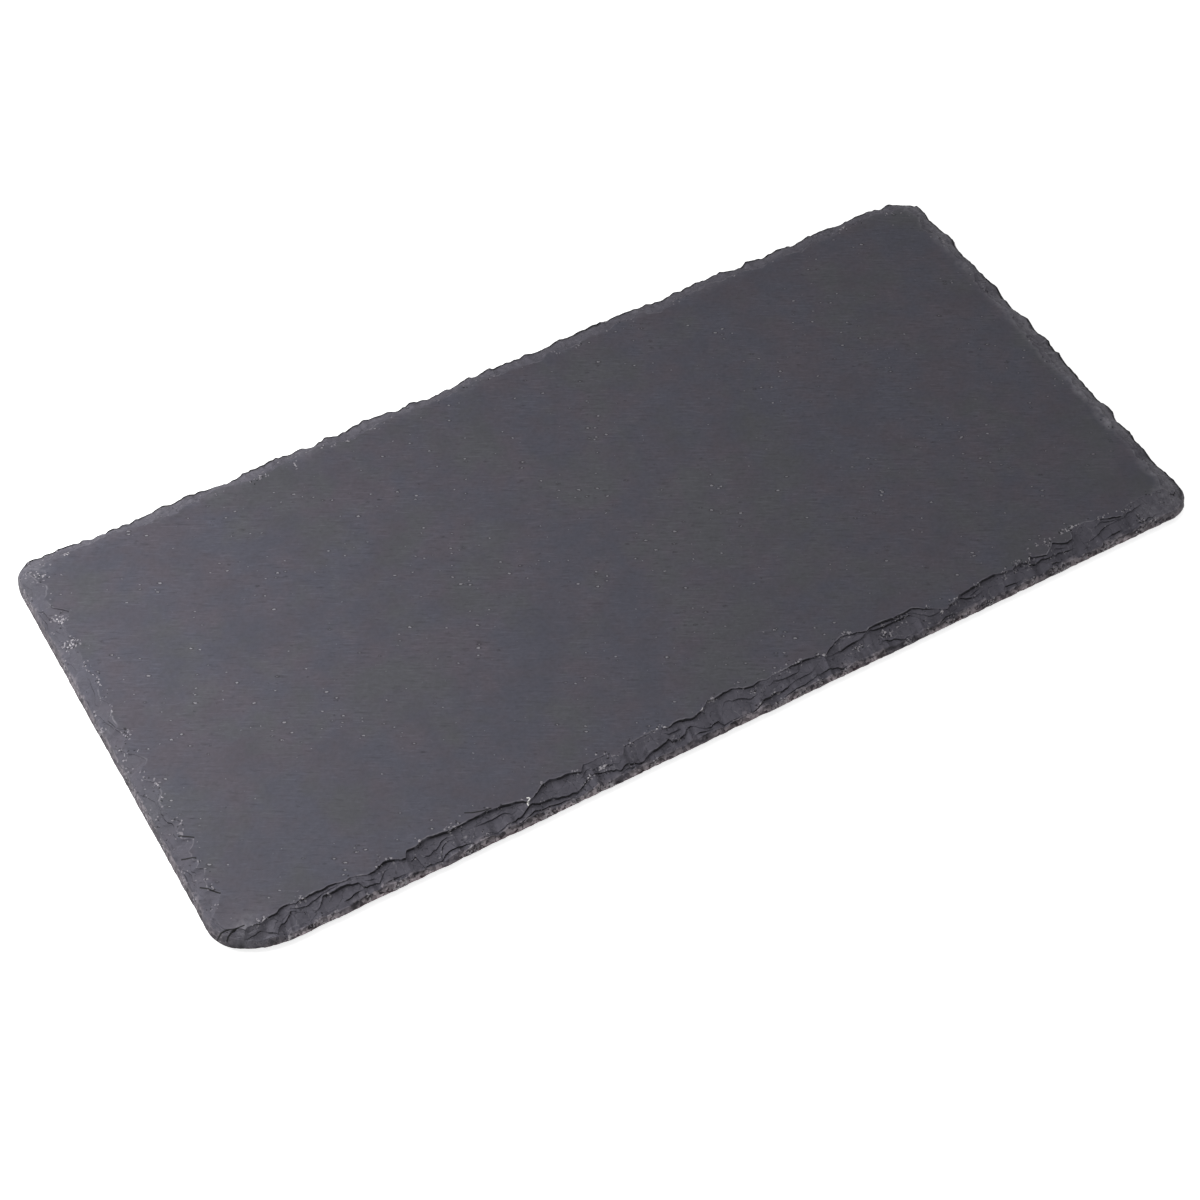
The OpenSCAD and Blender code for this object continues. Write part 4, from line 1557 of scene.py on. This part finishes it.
@dataclass(frozen=True)
class Softbox:
    """A square soft lamp."""

    name: str
    place: tuple[float, float, float]
    aim: tuple[float, float, float]
    side: float
    power: float

    def hang(self) -> None:
        """Hangs the lamp where the camera doesn't show it."""
        light = bpy.data.lights.new(self.name, "AREA")
        light.shape = "SQUARE"
        light.size = self.side / METRE
        light.energy = self.power
        lamp = bpy.data.objects.new(self.name, light)
        lamp.location = Vector(self.place) / METRE
        lamp.rotation_euler = (Vector(self.aim) - Vector(self.place)).to_track_quat("-Z", "Y").to_euler()
        lamp.visible_camera = False
        bpy.context.scene.collection.objects.link(lamp)


@dataclass(frozen=True)
class Studio:
    """Plain pale floor, a large lamp overhead, a smaller one by the left end, an even sky and the camera."""

    floor_half: float = 4000.0
    floor_colour: str = "#e8e8e8"
    floor_lift: float = 0.8
    sky_colour: str = "#ffffff"
    sky_fill: float = 0.15
    overhead: Softbox = Softbox("overhead", (40.0, 60.0, 800.0), (20.0, 0.0, 0.0), 700.0, 1.84)
    left_end: Softbox = Softbox("left_end", (-260.0, 80.0, 210.0), (-150.0, 0.0, 0.0), 220.0, 0.8)
    camera_place: tuple[float, float, float] = (-233.63, -407.71, 584.75)
    camera_aim: tuple[float, float, float] = (-12.58, -17.38, 2.0)
    camera_roll: float = -0.24
    lens: float = 80.39
    sensor: float = 36.0

    def shown_rays(self, add: Adder) -> Node:
        """Node that is 1 for rays that show the background: from the camera, and in gloss and glass.

        Args:
            add: Adds a node to the tree that asks.

        Returns:
            The node.
        """
        path = add("LightPath")
        mirrored = add("Math", {0: path.outputs["Is Glossy Ray"], 1: path.outputs["Is Transmission Ray"]},
                       operation="MAXIMUM")
        return add("Math", {0: path.outputs["Is Camera Ray"], 1: mirrored}, operation="MAXIMUM")

    def floor(self) -> bpy.types.Object:
        """Lays the floor, which shows white and keeps the shadow.

        Returns:
            The floor.
        """
        material = empty_material("matt_paper")
        add = partial(add_node, material.node_tree)
        lift = add("Math", {0: self.shown_rays(add), 1: self.floor_lift}, operation="MULTIPLY")
        shader = add("BsdfPrincipled", {
            "Base Color": linear(self.floor_colour), "Roughness": 1.0, "Specular IOR Level": 0.0,
            "Emission Color": linear(self.sky_colour), "Emission Strength": lift})
        add("OutputMaterial", {"Surface": shader})
        grid = bmesh.new()
        bmesh.ops.create_grid(grid, x_segments=1, y_segments=1, size=self.floor_half / METRE)
        floor = placed("floor", grid, material)
        return floor

    def sky(self) -> None:
        """Sets an even sky that fills the shadows and shows white."""
        world = bpy.data.worlds.new("studio")
        world.use_nodes = True
        world.node_tree.nodes.clear()
        add = partial(add_node, world.node_tree)
        strength = add("MapRange", Span(0.0, 1.0, self.sky_fill, 1.0).of(self.shown_rays(add)))
        sky = add("Background", {"Color": linear(self.sky_colour), "Strength": strength})
        add("OutputWorld", {"Surface": sky})
        bpy.context.scene.world = world

    def camera(self) -> None:
        """Places the camera."""
        lens = bpy.data.cameras.new("camera")
        lens.lens = self.lens
        lens.sensor_width = self.sensor
        lens.clip_start = 0.01
        camera = bpy.data.objects.new("camera", lens)
        aim = Vector(self.camera_aim) - Vector(self.camera_place)
        roll = Matrix.Rotation(math.radians(self.camera_roll), 3, "Z")
        turn = aim.to_track_quat("-Z", "Y").to_matrix() @ roll
        camera.location = Vector(self.camera_place) / METRE
        camera.rotation_euler = turn.to_euler()
        bpy.context.scene.collection.objects.link(camera)
        bpy.context.scene.camera = camera

    def build(self) -> None:
        """Sets up the floor, the light, the camera and the view."""
        self.floor()
        self.sky()
        self.overhead.hang()
        self.left_end.hang()
        self.camera()
        bpy.context.scene.view_settings.view_transform = "Standard"


def main() -> None:
    """Builds the slab, the pads and the films, and sets up the studio."""
    logging.basicConfig(level=logging.INFO, format="%(name)s: %(message)s")
    slab = Slab("slate").build(RivenSlate())
    LOG.info("%s: %d faces", slab.name, len(slab.data.polygons))
    rubber = CellRubber().make()
    film = AdhesiveFilm().make()
    for name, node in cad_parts.items():
        if name.startswith("foot_"):
            pad = FootPad(name).build(rubber)
            LOG.info("%s: %d faces", pad.name, len(pad.data.polygons))
        elif name.startswith("film_"):
            node.data.materials.clear()
            node.data.materials.append(film)
            LOG.info("%s: film", name)
    Studio().build()


if __name__ == "__main__":
    main()
